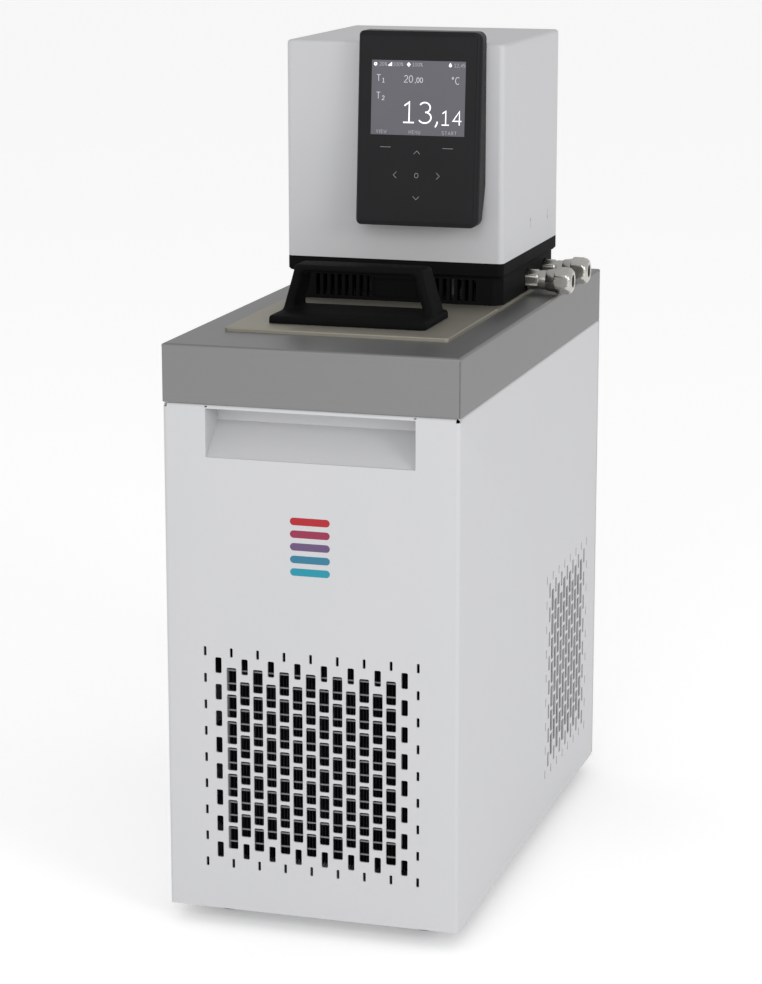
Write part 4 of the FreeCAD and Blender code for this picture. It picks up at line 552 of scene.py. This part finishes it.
def folded(station, height, depth):
    """Where a point of the flat blank lands, at a depth under the sheet's outer face."""
    plan, heading = around.at(station)
    section, rise = upright.at(height)
    outward = Vector((math.sin(heading), -math.cos(heading)))
    lean = Vector((math.sin(rise), -math.cos(rise)))
    inset = -section.x + depth * lean.x
    flat = plan - outward * inset
    return at(flat.x, flat.y, section.y - depth * lean.y)


# %% [markdown]
# ### The flat blank
# Before it is folded, the sheet is a long rectangle with tabs for the top flanges. Small reliefs part
# the tabs at the corners, where the steel would otherwise tear as two bends meet.

# %% Outline of the flat blank
RELIEF, RELIEF_END, SIDE_TAPER, FRONT_TAPER = 0.6, 4, 16, 24

left_start = around.stations[2]
front_start, front_end = around.stations[4], around.stations[5]
right_end = around.stations[7]
front_middle = (front_start + front_end) / 2
wall_top = upright.stations[1]
flange_end, front_flange_end = wall_top + quarter(TOP_BEND) + FLANGE - TOP_BEND, upright.stations[3]
relief_low, relief_high, corner = wall_top - RELIEF, wall_top + RELIEF_END, quarter(FRONT_BEND)
last = around.stations[-1]
blank = [(0, 0), (last, 0), (last, wall_top), (right_end, wall_top), (right_end, flange_end),
         (front_end + SIDE_TAPER, flange_end), (front_end + corner, relief_high),
         (front_end + corner, relief_low), (front_end, relief_low), (front_end, relief_high),
         (front_end - FRONT_TAPER, front_flange_end), (front_start + FRONT_TAPER, front_flange_end),
         (front_start, relief_high), (front_start, relief_low), (front_start - corner, relief_low),
         (front_start - corner, relief_high), (front_start - SIDE_TAPER, flange_end),
         (left_start, flange_end), (left_start, wall_top), (0, wall_top)]

# %% Openings in the blank
MOUTH = (0, 320 + 32.1 / 2, 141.3, 32.1, 0.6)
NOTCH = (70.2, 353.5, 1.9, 1.5, 0.6)


def side_station(y, side):
    """The station on the left or right side at a distance behind the casing's front."""
    return front_start - quarter(FRONT_BEND) - (y - FRONT_BEND) if side < 0 else (
        front_end + quarter(FRONT_BEND) + y - FRONT_BEND)


def opening(station, z, width, height, radius):
    """An opening's outline on the flat sheet, from its height above the floor."""
    return rounded_outline(station, z - BOTTOM, width, height, radius)


holes = [opening(front_middle + x, *rest) for x, *rest in grille(FRONT_COLUMNS, 0, GRILLE_MIDDLE)]
for side in (-1, 1):
    holes += [opening(side_station(y, side), *rest)
              for y, *rest in grille(SIDE_COLUMNS, SIDE_GRILLE_DEPTH, GRILLE_MIDDLE)]
holes.append(opening(front_middle + MOUTH[0], *MOUTH[1:]))
holes += [opening(front_middle + side * NOTCH[0], *NOTCH[1:]) for side in (-1, 1)]
print("openings:", len(holes))

# %% [markdown]
# ### Cutting and folding
# One call fills the flat outline with triangles that keep every edge it is given. The bends need edges
# too, a few across each, or the sheet would fold in flat chords. Triangles in a hole are dropped, and
# the rest become the sheet's outer and inner faces.

# %% Triangles of the flat blank
points, edges = [], []
for loop in [blank] + holes:
    edges += closed_edges(len(points), len(loop))
    points += loop
for station in around.creases(5):
    first = len(points)
    points += [(station, 0), (station, wall_top)]
    edges.append((first, first + 1))
for height in upright.creases(4):
    first = len(points)
    points += [(left_start, height), (right_end, height)]
    edges.append((first, first + 1))
flat_points, _, flat_faces, *_ = delaunay_2d_cdt([Vector(p) for p in points], edges, [], 0, 1e-5)


def inside(point, loop):
    """Whether a point of the flat sheet lies inside a closed outline."""
    crossings = False
    for (x0, y0), (x1, y1) in zip(loop, loop[1:] + loop[:1]):
        crosses_level = (y0 > point[1]) != (y1 > point[1])
        if crosses_level and point[0] < x0 + (point[1] - y0) * (x1 - x0) / (y1 - y0):
            crossings = not crossings
    return crossings


hole_boxes = [(min(p[0] for p in h), max(p[0] for p in h), min(p[1] for p in h), max(p[1] for p in h), h)
              for h in holes]
kept = []
for face in flat_faces:
    centre = sum((flat_points[i] for i in face), Vector((0, 0))) / len(face)
    in_hole = any(x0 < centre.x < x1 and y0 < centre.y < y1 and inside(centre, h)
                  for x0, x1, y0, y1, h in hole_boxes)
    if not in_hole and inside(centre, blank):
        kept.append(face)
print("triangles kept:", len(kept), "of", len(flat_faces))

# %% Fold the sheet
used = sorted({i for face in kept for i in face})
order = {index: number for number, index in enumerate(used)}
count = len(used)
verts = [folded(*flat_points[i], 0) for i in used] + [folded(*flat_points[i], SHEET) for i in used]
faces, rims = [], {}
for face in kept:
    ring = [order[i] for i in face]
    faces.append(ring)
    faces.append([i + count for i in reversed(ring)])
    for a, b in zip(ring, ring[1:] + ring[:1]):
        if (b, a) in rims:
            del rims[(b, a)]
        else:
            rims[(a, b)] = True
faces += [(b, a, a + count, b + count) for a, b in rims]

casing = new_piece("folded_casing", verts, faces, casing_coat, "casing_white", smooth_angle=30)
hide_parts("casing_wrap")
print("casing sheet:", len(holes), "openings,", len(faces), "faces")

# %% [markdown]
# ## Behind the grille
# What shows through the slots is nearly black: a pack of thin fins, two millimetres apart, whose near
# black colour is painted shade for the dark inside of the casing, and in front of it the lighter lines
# of a wire guard, two for each row of slots, on two rails that reach the sheet. Real fins are a tenth of
# a millimetre thick. Here they are thicker, so that the render doesn't break them up.

# %% Boxes and rods
def slab(lowest, highest):
    """The corners and faces of a closed box between two drawing points."""
    corners = [at(x, y, z) for x in (lowest[0], highest[0]) for y in (lowest[1], highest[1])
               for z in (lowest[2], highest[2])]
    return corners, [(0, 1, 3, 2), (4, 6, 7, 5), (0, 4, 5, 1), (2, 3, 7, 6), (0, 2, 6, 4), (1, 5, 7, 3)]


def gather(parts):
    """Joins closed shapes into one list of points and one of faces."""
    points, faces = [], []
    for some_points, some_faces in parts:
        first = len(points)
        points += some_points
        faces += [[first + i for i in face] for face in some_faces]
    return points, faces


def rod(y, z, radius, left, right, steps):
    """The points and faces of a closed round rod along X."""
    circle = arc(y, z, radius, radius, 0, 360, steps)[:-1]
    points = [at(x, a, b) for x in (left, right) for a, b in circle]
    return points, skin(0, 2, steps) + [range(steps), range(steps, 2 * steps)]


# %% Fin pack
FIN_PITCH, FIN_GAUGE = 2.2, 0.35
TUBE_ROWS, TUBE_PITCH, TUBE_RADIUS = 8, 19.0, 3.5

(fins_left, fins_front, fins_low), (fins_right, fins_back, fins_high) = [
    (Vector(corner) - SHIFT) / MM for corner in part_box("condenser_fins")]
fins = []
gaps = int((fins_right - fins_left - FIN_GAUGE) / FIN_PITCH)
for number in range(gaps + 1):
    x = (fins_left + fins_right) / 2 + (number - gaps / 2) * FIN_PITCH
    fins.append(slab((x - FIN_GAUGE / 2, fins_front, fins_low),
                     (x + FIN_GAUGE / 2, fins_back, fins_high)))
for row in range(TUBE_ROWS):
    z = (fins_low + fins_high) / 2 + (row - (TUBE_ROWS - 1) / 2) * TUBE_PITCH
    fins.append(rod((fins_front + fins_back) / 2, z, TUBE_RADIUS, fins_left, fins_right, 16))
# The fin pack wears the near black painted shade of the casing's inside.
fin_pack = new_piece("fin_pack", *gather(fins), painted_shade_fins, "fin_aluminium", smooth_angle=40)
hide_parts("condenser_fins")
print("fins:", gaps + 1, "tubes:", TUBE_ROWS)

# %% Wire guard
WIRE_RADIUS, WIRE_DROP = 0.6, 3.6
GUARD_HALF, GUARD_Y = 59.5, -196.5
RAIL_HALF, RAIL_LOW, RAIL_HIGH = 1.5, 50, 185

wires = [rod(GUARD_Y, GRILLE_MIDDLE + number * ROW_PITCH / 2 - WIRE_DROP, WIRE_RADIUS,
             -GUARD_HALF, GUARD_HALF, 10) for number in range(-6, 8)]
rails = [slab((x - RAIL_HALF, FRONT + SHEET, RAIL_LOW), (x + RAIL_HALF, GUARD_Y + RAIL_HALF, RAIL_HIGH))
         for x in (-GUARD_HALF, GUARD_HALF)]
new_piece("wire_guard", *gather(wires + rails), guard_coat, "galvanised", smooth_angle=40)
print("wires:", len(wires))

# %% [markdown]
# ## Lid handle
# The handle is one black moulding: a flat foot that lies on the lid, and an arch that stands on it on
# two legs. Its edges are soft, and the legs sweep out into the foot. A bevel on a boxy shape would give
# the edges one radius everywhere, so the arch is a row of rings instead. Each ring is a rounded
# rectangle across the arch, and the lowest rings spread to make the sweep.

# %% Rings from the right foot up to the middle of the bar
LID_TOP, FOOT_TOP, BAR_TOP, BAR_UNDER = 395.9, 401.1, 432.0, 427.5
ARCH_FRONT, BAR_BACK, OUTER_BEND, INNER_BEND, BEND_STEPS = -96.0, -73.0, 3.2, 6.0, 6

# Each leg ring: height, its outer and inner distance from the middle, its front and its back
LEG_RINGS = [(FOOT_TOP, 52.5, 43.4, -101.6, -65.4), (401.7, 52.3, 44.2, -99.0, -66.4),
             (402.6, 52.1, 44.7, -97.3, -67.2), (404.0, 51.8, 44.8, -96.3, -67.8),
             (407.0, 51.0, 44.2, ARCH_FRONT, -68.0), (420.0, 47.2, 40.6, ARCH_FRONT, -68.6)]
ring_rows = [((out, z), (within, z), front, back) for z, out, within, front, back in LEG_RINGS]
bend_out = arc(42.0, BAR_TOP - OUTER_BEND, OUTER_BEND, OUTER_BEND, -12, 90, BEND_STEPS)
bend_in = arc(34.4, BAR_UNDER - INNER_BEND, INNER_BEND, INNER_BEND, -12, 90, BEND_STEPS)
ring_rows += [(out, within, ARCH_FRONT, -69.0 - 4 * i / BEND_STEPS)
              for i, (out, within) in enumerate(zip(bend_out, bend_in))]
ring_rows += [((21.0, BAR_TOP), (21.0, BAR_UNDER), ARCH_FRONT, BAR_BACK)]
ring_rows += [((-out[0], out[1]), (-within[0], within[1]), front, back)
              for out, within, front, back in reversed(ring_rows)]


def handle_ring(out, within, front, back):
    """Points of a rounded rectangle from the arch's inner to its outer side."""
    out, within = Vector(out), Vector(within)
    thick = (out - within).length
    direction = (out - within) / thick
    points = []
    edge = 0.42 * thick
    for along, y in rounded_outline(thick / 2, (front + back) / 2, thick, back - front, edge, 4):
        flat = within + direction * along
        points.append(at(flat.x, y, flat.y))
    return points


# %% Skin of the arch
rings = [handle_ring(*row) for row in ring_rows]
per_ring = len(rings[0])
verts = [point for ring in rings for point in ring]
faces = skin(0, len(rings), per_ring)
print("arch:", len(rings), "rings of", per_ring, "points")

# %% Edges of the foot plate
PLATE_MIDDLE, PLATE_WIDTH, PLATE_DEPTH, PLATE_CORNER = -91.75, 108.8, 59.5, 3.4
PLATE_RINGS = [(0.3, LID_TOP), (0.0, LID_TOP + 0.4), (0.0, 399.1), (0.3, 400.0), (0.9, 400.7),
               (1.6, FOOT_TOP)]

plates = []
for inset, z in PLATE_RINGS:
    outline = rounded_outline(0, PLATE_MIDDLE, PLATE_WIDTH - 2 * inset, PLATE_DEPTH - 2 * inset,
                              PLATE_CORNER - inset)
    plates.append([at(x, y, z) for x, y in outline])
around_plate = len(plates[0])
plate_start = len(verts)
verts += [point for plate in plates for point in plate]
faces.append([plate_start + j for j in range(around_plate)])
faces += skin(plate_start, len(plates), around_plate)

# %% [markdown]
# ### Where the legs meet the foot
# The plate's top is a flat face with two holes, out of which the legs rise. If it were left whole, the
# legs would only stand in it, and the moulding wouldn't be one closed skin.

# %% Top of the foot plate
top_start = plate_start + (len(plates) - 1) * around_plate
top_loops = [list(range(top_start, top_start + around_plate)), list(range(per_ring)),
             list(range((len(rings) - 1) * per_ring, len(rings) * per_ring))]
top_points, top_edges, index_of = [], [], []
for loop in top_loops:
    top_edges += closed_edges(len(top_points), len(loop))
    top_points += [verts[i].to_2d() for i in loop]
    index_of += loop
flat_points, _, flat_faces, origins, *_ = delaunay_2d_cdt(top_points, top_edges, [], 0, 1e-7)
for face in flat_faces:
    centre = sum((flat_points[i] for i in face), Vector((0, 0))) / len(face)
    on_plate, *on_legs = [inside(centre, [verts[i].to_2d() for i in loop]) for loop in top_loops]
    if on_plate and not any(on_legs):
        faces.append([index_of[origins[i][0]] for i in face])
handle = new_piece("lid_handle_moulding", verts, faces, black_abs, "black_plastic", smooth_angle=50)
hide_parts("lid_handle")
print("handle:", len(rings), "rings,", len(faces), "faces")

# %% [markdown]
# ## Pipe connectors
# Two nickel-plated fittings stick out of the pedestal, for the hoses of an outside circuit. Each is
# turned from hexagonal bar: where the tool cuts, it is round, and where it doesn't, the flats are left.
# So each ring of points has two radii, the turned one and that of the flats, and the smaller wins. That
# also draws the arcs where a chamfer runs over the corners of a nut.

# %% Rings of a turned hexagonal bar
CONNECTOR_LEVEL, AROUND = 403.5, 72
CONNECTOR_Y = {"supply": 69, "return": 120}
STEM_HEX, NUT_HEX = 12.8, 17

# Each ring: its place along the fitting, its turned radius and its width across flats, 0 if it has none
CONNECTOR_RINGS = [(58.0, 6.0, 0), (68.0, 6.0, 0), (68.0, 7.5, STEM_HEX), (84.1, 7.5, STEM_HEX),
                   (84.9, 6.7, STEM_HEX), (85.0, 6.4, 0), (85.8, 6.4, 0), (86.0, 6.9, 0),
                   (99.0, 6.9, 0), (99.0, 4.0, 0), (58.0, 4.0, 0)]
NUT_RINGS = [(90.6, 7.5, 0), (91.0, 7.7, 0), (96.9, 8.5, 0), (97.0, 8.7, NUT_HEX), (97.5, 9.3, NUT_HEX),
             (98.1, 9.8, NUT_HEX), (105.2, 9.8, NUT_HEX), (106.3, 9.5, NUT_HEX), (107.4, 9.0, NUT_HEX),
             (108.4, 8.3, NUT_HEX), (109.1, 7.4, NUT_HEX), (109.5, 6.5, 0), (109.5, 4.9, 0),
             (109.1, 4.5, 0), (101.0, 4.5, 0), (101.0, 7.2, 0), (90.6, 7.2, 0)]


# %% Make the fittings
def fitting(name, y, stations, replaced):
    """A fitting along X from its rings, in place of a solid."""
    points = []
    for x, radius, flats in stations:
        for i in range(AROUND):
            angle = 2 * math.pi * i / AROUND
            from_flat = (angle + math.pi / 6) % (math.pi / 3) - math.pi / 6
            reach = min(radius, flats / 2 / math.cos(from_flat)) if flats else radius
            points.append(at(x, y + reach * math.cos(angle), CONNECTOR_LEVEL + reach * math.sin(angle)))
    faces = skin(0, len(stations), AROUND, closed=True)
    piece = new_piece(name, points, faces, satin_nickel, "nickel", smooth_angle=25)
    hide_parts(replaced)


for label, y in CONNECTOR_Y.items():
    fitting(label + "_stem", y, CONNECTOR_RINGS, label + "_connector")
    fitting(label + "_nut", y, NUT_RINGS, label + "_union_nut")
print("fittings at", CONNECTOR_LEVEL, "mm above the floor")

# %% [markdown]
# ## Display
# The display leans back by about four degrees. Everything drawn on it is laid out flat in
# millimetres, across and up from the lower left corner of its front, and one matrix then tilts the
# drawing onto the housing.

# %% The display's own plane
DISPLAY_LEAN = math.radians(4.15)
DISPLAY_WIDTH, DISPLAY_HEIGHT, DISPLAY_MIDDLE = 87, 131, 21.5
DISPLAY_FOOT_Y, DISPLAY_TOP = -9.2 - 22.3, 574.7 + 8.3

corner = at(DISPLAY_MIDDLE - DISPLAY_WIDTH / 2, DISPLAY_FOOT_Y, DISPLAY_TOP - DISPLAY_HEIGHT)
display_plane = (Matrix.Translation(corner)
                 @ Matrix.Rotation(math.pi / 2 - DISPLAY_LEAN, 4, "X") @ Matrix.Scale(MM, 4))
print("display's lower corner", [round(c / MM, 1) for c in corner])


# %% Printed lines
def ribbons(strokes, width, height=0.06):
    """Printed lines of one width: a thin raised ribbon along each stroke."""
    verts, faces = [], []
    for points in strokes:
        points = [Vector(p) for p in points]
        first = len(verts)
        closed = (points[0] - points[-1]).length < 1e-6
        for i, point in enumerate(points):
            before = points[i - 1] if i else (points[-2] if closed else point)
            after = points[i + 1] if i + 1 < len(points) else (points[1] if closed else point)
            into = (point - before).normalized() if (point - before).length else Vector((0, 0))
            out = (after - point).normalized() if (after - point).length else Vector((0, 0))
            along = (into + out).normalized()
            half = width / 2 / max(0.5, along.dot(out if out.length else into))
            side = Vector((-along.y, along.x)) * half
            for z in (0.0, height):
                verts.append((point.x + side.x, point.y + side.y, z))
                verts.append((point.x - side.x, point.y - side.y, z))
        for i in range(len(points) - 1):
            a, b = first + 4 * i, first + 4 * (i + 1)
            faces += [(a + 2, a + 3, b + 3, b + 2), (a, b, b + 1, a + 1),
                      (a, a + 2, b + 2, b), (a + 1, b + 1, b + 3, a + 3)]
        last = first + 4 * (len(points) - 1)
        faces += [(first, first + 1, first + 3, first + 2), (last, last + 2, last + 3, last + 1)]
    return verts, faces


# %% [markdown]
# ### Screen
# The screen is a grey liquid crystal panel behind a matt film, lit from behind. Its light is weak, so
# it reads as a dark grey that never goes black. The readings are thin strokes, so each sign is drawn
# from a few lines and arcs instead of a heavy ready-made typeface.

# %% Screen panel
SCREEN_WIDTH, SCREEN_HEIGHT, SCREEN_LOW = 66.0, 50.2, 61.5
SCREEN_LEFT = (DISPLAY_WIDTH - SCREEN_WIDTH) / 2

screen_film, tree, shader, place = start_finish("backlit_screen", "#3C3C40", roughness=0.38)
vary_colour(tree, shader, noise(tree, place, per_metre(30), 1.0), "#37373B", "#414145")
shader.inputs["Emission Color"].default_value = linear("#5F5F68")
shader.inputs["Emission Strength"].default_value = 0.55
nodes["display_screen"].material_slots[0].material = screen_film


def lit_ink(name, colour, glow, strength):
    """The finish of signs that shine a little by themselves."""
    finish, _, shader, _ = start_finish(name, colour, roughness=0.4)
    shader.inputs["Emission Color"].default_value = linear(glow)
    shader.inputs["Emission Strength"].default_value = strength
    return finish


ink = lit_ink("lit_screen_signs", "#E8E8EA", "#E8E8EC", 0.7)
dim_ink = lit_ink("dim_screen_signs", "#B4B4BA", "#A8A8AE", 0.5)
faint_ink = lit_ink("faint_screen_signs", "#96969C", "#8A8A90", 0.45)
key_print, *_ = start_finish("printed_key_signs", "#8E8E90", roughness=0.5)
print("screen:", SCREEN_WIDTH, "x", SCREEN_HEIGHT, "mm")

# %% Signs made of strokes
# Each sign is drawn in a box one high, and its first number is its width
SIGNS = {
    "0": (0.62, [arc(0.31, 0.5, 0.28, 0.5, 90, 450, 28)]),
    "1": (0.55, [[(0.05, 0.82), (0.3, 1.0), (0.3, 0.0)], [(0.0, 0.0), (0.55, 0.0)]]),
    "2": (0.6, [arc(0.3, 0.72, 0.26, 0.28, 160, -30) + [(0.02, 0.0), (0.6, 0.0)]]),
    "3": (0.66, [arc(0.31, 0.75, 0.28, 0.25, 150, -80), arc(0.31, 0.26, 0.33, 0.27, 85, -150)]),
    "4": (0.62, [[(0.48, 0.0), (0.48, 1.0), (0.0, 0.3), (0.64, 0.3)]]),
    "5": (0.6, [[(0.52, 1.0), (0.1, 1.0), (0.06, 0.55)] + arc(0.28, 0.32, 0.28, 0.32, 115, -145)]),
    ",": (0.2, [[(0.12, 0.08), (0.12, 0.0), (0.02, -0.2)]]),
    "T": (0.62, [[(0.0, 1.0), (0.62, 1.0)], [(0.31, 1.0), (0.31, 0.0)]]),
    "C": (0.62, [arc(0.36, 0.5, 0.33, 0.5, 50, 310, 20)]),
    "o": (0.3, [arc(0.12, 0.86, 0.11, 0.14, 0, 360)]),
    "%": (0.6, [[(0.08, 0.0), (0.5, 1.0)], arc(0.1, 0.8, 0.1, 0.18, 0, 360, 8),
                arc(0.48, 0.2, 0.1, 0.18, 0, 360, 8)]),
    "A": (0.66, [[(0.0, 0.0), (0.33, 1.0), (0.66, 0.0)], [(0.12, 0.36), (0.54, 0.36)]]),
    "E": (0.5, [[(0.5, 1.0), (0.0, 1.0), (0.0, 0.0), (0.5, 0.0)], [(0.0, 0.52), (0.42, 0.52)]]),
    "I": (0.1, [[(0.05, 0.0), (0.05, 1.0)]]),
    "M": (0.72, [[(0.0, 0.0), (0.0, 1.0), (0.36, 0.4), (0.72, 1.0), (0.72, 0.0)]]),
    "N": (0.6, [[(0.0, 0.0), (0.0, 1.0), (0.6, 0.0), (0.6, 1.0)]]),
    "R": (0.56, [[(0.0, 0.0), (0.0, 1.0)] + arc(0.26, 0.75, 0.28, 0.25, 90, -90) + [(0.0, 0.5)],
                 [(0.26, 0.5), (0.56, 0.0)]]),
    "S": (0.54, [arc(0.27, 0.75, 0.25, 0.25, 30, 270) + arc(0.27, 0.25, 0.27, 0.25, 90, -150)]),
    "U": (0.6, [[(0.0, 1.0)] + arc(0.3, 0.3, 0.3, 0.3, 180, 360) + [(0.6, 1.0)]]),
    "V": (0.62, [[(0.0, 1.0), (0.31, 0.0), (0.62, 1.0)]]),
    "W": (0.84, [[(0.0, 1.0), (0.21, 0.0), (0.42, 0.8), (0.63, 0.0), (0.84, 1.0)]]),
}


def write(text, left, base, height, spacing=0.22):
    """The strokes of a line of signs, from its left end and base line."""
    strokes, pen = [], left
    for letter in text:
        width, lines = SIGNS[letter]
        strokes += [[(pen + x * height, base + y * height) for x, y in line] for line in lines]
        pen += (width + spacing) * height
    return strokes


# %% Helpers that place signs on the display
INK_LIFT = 0.02


def print_on_display(name, strokes, width, material, slot):
    """A piece of printed lines on the display's front."""
    verts, faces = ribbons(strokes, width)
    points = [display_plane @ Vector((x, y, z + INK_LIFT)) for x, y, z in verts]
    return new_piece(name, points, faces, material, slot)


def on_screen(x, down):
    """A place on the screen, from its upper left corner."""
    return SCREEN_LEFT + x, SCREEN_LOW + SCREEN_HEIGHT - down


def write_all(rows):
    """The strokes of several lines: each row is a text, its place on the screen and its size."""
    return [stroke for text, x, down, *size in rows for stroke in write(text, *on_screen(x, down), *size)]


# %% [markdown]
# ### What the screen shows
# The screen shows the bath's temperature large and the wanted one small, with a row of status signs
# over them and the names of the soft keys below. The large reading has the thickest strokes and the
# brightest ink, so that the eye finds it first.

# %% Readings and status
ROWS_OF_SIGNS = {
    "reading_large": (0.95, ink, [("13", 22.9, 41.6, 13.7, 0.24), (",", 45.2, 41.6, 13.7)]),
    "reading_small": (0.78, ink, [("14", 50.0, 42.7, 9.3, 0.3)]),
    "reading_lines": (0.42, dim_ink, [
        ("20", 22.9, 14.6, 4.5, 0.16), (",00", 30.6, 14.6, 3.2, 0.14), ("T", 3.6, 14.2, 4.3),
        ("1", 7.6, 15.0, 2.7), ("T", 3.6, 26.0, 4.3), ("2", 7.6, 26.8, 2.7),
        ("oC", 56.6, 15.2, 4.6, 0.2)]),
    "status_and_soft_keys": (0.26, faint_ink, [
        ("20%", 5.4, 3.8, 2.3), ("100%", 15.0, 3.8, 2.3), ("100%", 28.6, 3.8, 2.3),
        ("12,45", 58.0, 3.8, 2.2), ("VIEW", 4.0, 49.2, 2.2, 0.4), ("MENU", 27.0, 49.2, 2.2, 0.4),
        ("START", 50.4, 49.2, 2.2, 0.4)]),
}
for name, (width, tone, rows) in ROWS_OF_SIGNS.items():
    print_on_display(name, write_all(rows), width, tone, "screen")
print("lines of signs:", sum(len(rows) for _, _, rows in ROWS_OF_SIGNS.values()))


# %% Small status symbols
def symbol(x, down, shape, size):
    """A closed outline at a place on the screen."""
    middle = Vector(on_screen(x, down))
    return [tuple(middle + Vector(point) * size) for point in shape]


disc = arc(0, 0, 1.45, 1.45, 0, 360, 24)
diamond = [(1.5, 0), (0, 1.7), (-1.5, 0), (0, -1.7), (1.5, 0)]
drop = [(0, 1.7)] + arc(0, -0.3, 1.1, 1.1, 20, -200, 12) + [(0, 1.7)]
symbols = [symbol(2.6, 2.7, disc, 0.55), symbol(26.0, 2.7, diamond, 0.6), symbol(55.2, 2.7, drop, 0.6)]
symbols += [[on_screen(12.0 + 0.9 * i, 3.9), on_screen(12.0 + 0.9 * i, 3.0 - 0.8 * i)] for i in range(3)]
print_on_display("status_symbols", symbols, 0.75, ink, "screen")
print("symbols:", len(symbols))

# %% [markdown]
# ### Keys
# The keys are places on one smooth foil, marked by fine printed signs: four arrows round an enter
# key, and two dashes for the soft keys over them.

# %% Key signs
KEY_X, KEY_Y, KEY_REACH, KEY_UP, KEY_DOWN = 43.5, 34.4, 15.2, 15.6, 15.3
ARM, RISE, DASH_HALF, DASH_LEVEL = 2.2, 1.1, 3.7, 53.2


def chevron(x, y, turn):
    """An open arrow head that points up, turned by degrees."""
    spin = Matrix.Rotation(math.radians(turn), 2)
    return [tuple(spin @ Vector(p) + Vector((x, y))) for p in ((-ARM, -RISE), (0, RISE), (ARM, -RISE))]


key_signs = [chevron(KEY_X, KEY_Y + KEY_UP, 0), chevron(KEY_X, KEY_Y - KEY_DOWN, 180),
             chevron(KEY_X - KEY_REACH, KEY_Y, 90), chevron(KEY_X + KEY_REACH, KEY_Y, -90),
             arc(KEY_X, KEY_Y, 1.3, 1.6, 0, 360, 20)]
key_signs += [[(x - DASH_HALF, DASH_LEVEL), (x + DASH_HALF, DASH_LEVEL)] for x in (21.2, 65.2)]
print_on_display("key_signs", key_signs, 0.3, key_print, "foil_black")
print("key signs:", len(key_signs))

# %% [markdown]
# ## Printed marks
# The casing's front carries a small print over the grille: five bars that go from warm red to cold
# blue, for a bath that both heats and cools. Screen print is a few hundredths of a millimetre thick, so
# each bar is a flat plate with rounded ends that stands a hair proud of the powder coat. The side of
# the head has two small arrows beside the connectors, out of the bath and back into it.

# %% Flat prints
PRINT_THICKNESS, HEAD_SIDE = 0.02, 77.8


def flat_print(name, outline, place, material, slot):
    """A thin closed plate with a drawn outline, laid on a surface by a rule."""
    count = len(outline)
    points = [place(x, y, depth) for depth in (0.0, PRINT_THICKNESS) for x, y in outline]
    faces = [range(count), range(count, 2 * count)] + skin(0, 2, count)
    return new_piece(name, points, faces, material, slot)


def on_front(x, y, depth):
    """A place on the casing's front, across and up."""
    return at(x, FRONT - depth, y)


def on_head_side(x, y, depth):
    """A place on the head's right side, back and up."""
    return at(HEAD_SIDE + depth, x, y)


# %% Bars on the front
SCALE_MIDDLE, BAR_LENGTH, BAR_HEIGHT, BAR_PITCH = 264.6, 27.0, 5.0, 8.4

for number, colour in enumerate(("#00879C", "#24708C", "#5F466E", "#8C1C40", "#A60319")):
    bar_ink, tree, shader, place = start_finish(f"screen_print_{number}", colour, roughness=0.4)
    vary_roughness(tree, shader, noise(tree, place, per_metre(0.8), 2.0), 0.34, 0.46)
    up = SCALE_MIDDLE + (number - 2) * BAR_PITCH
    flat_print(f"scale_bar_{number}", rounded_outline(0, up, BAR_LENGTH, BAR_HEIGHT, BAR_HEIGHT / 2, 8),
               on_front, bar_ink, "casing_white")
print("bars:", number + 1)

# %% Arrows on the head
ARROW_LEVEL, ARROW_HALF = 444, 4
ARROW = [(0, 0), (0.5, 0), (0.5, 5.2), (1.5, 5.2), (0.25, 8.0), (-1.0, 5.2), (0, 5.2)]

mark_ink, *_ = start_finish("grey_screen_print", "#77787B", roughness=0.5)
for label, fitting_label, turn in (("out", "supply", 1), ("back", "return", -1)):
    outline = [(CONNECTOR_Y[fitting_label] - x, ARROW_LEVEL + turn * (z - ARROW_HALF)) for x, z in ARROW]
    flat_print("arrow_" + label, outline, on_head_side, mark_ink, "white_plastic")
print("arrows at", ARROW_LEVEL, "mm above the floor")
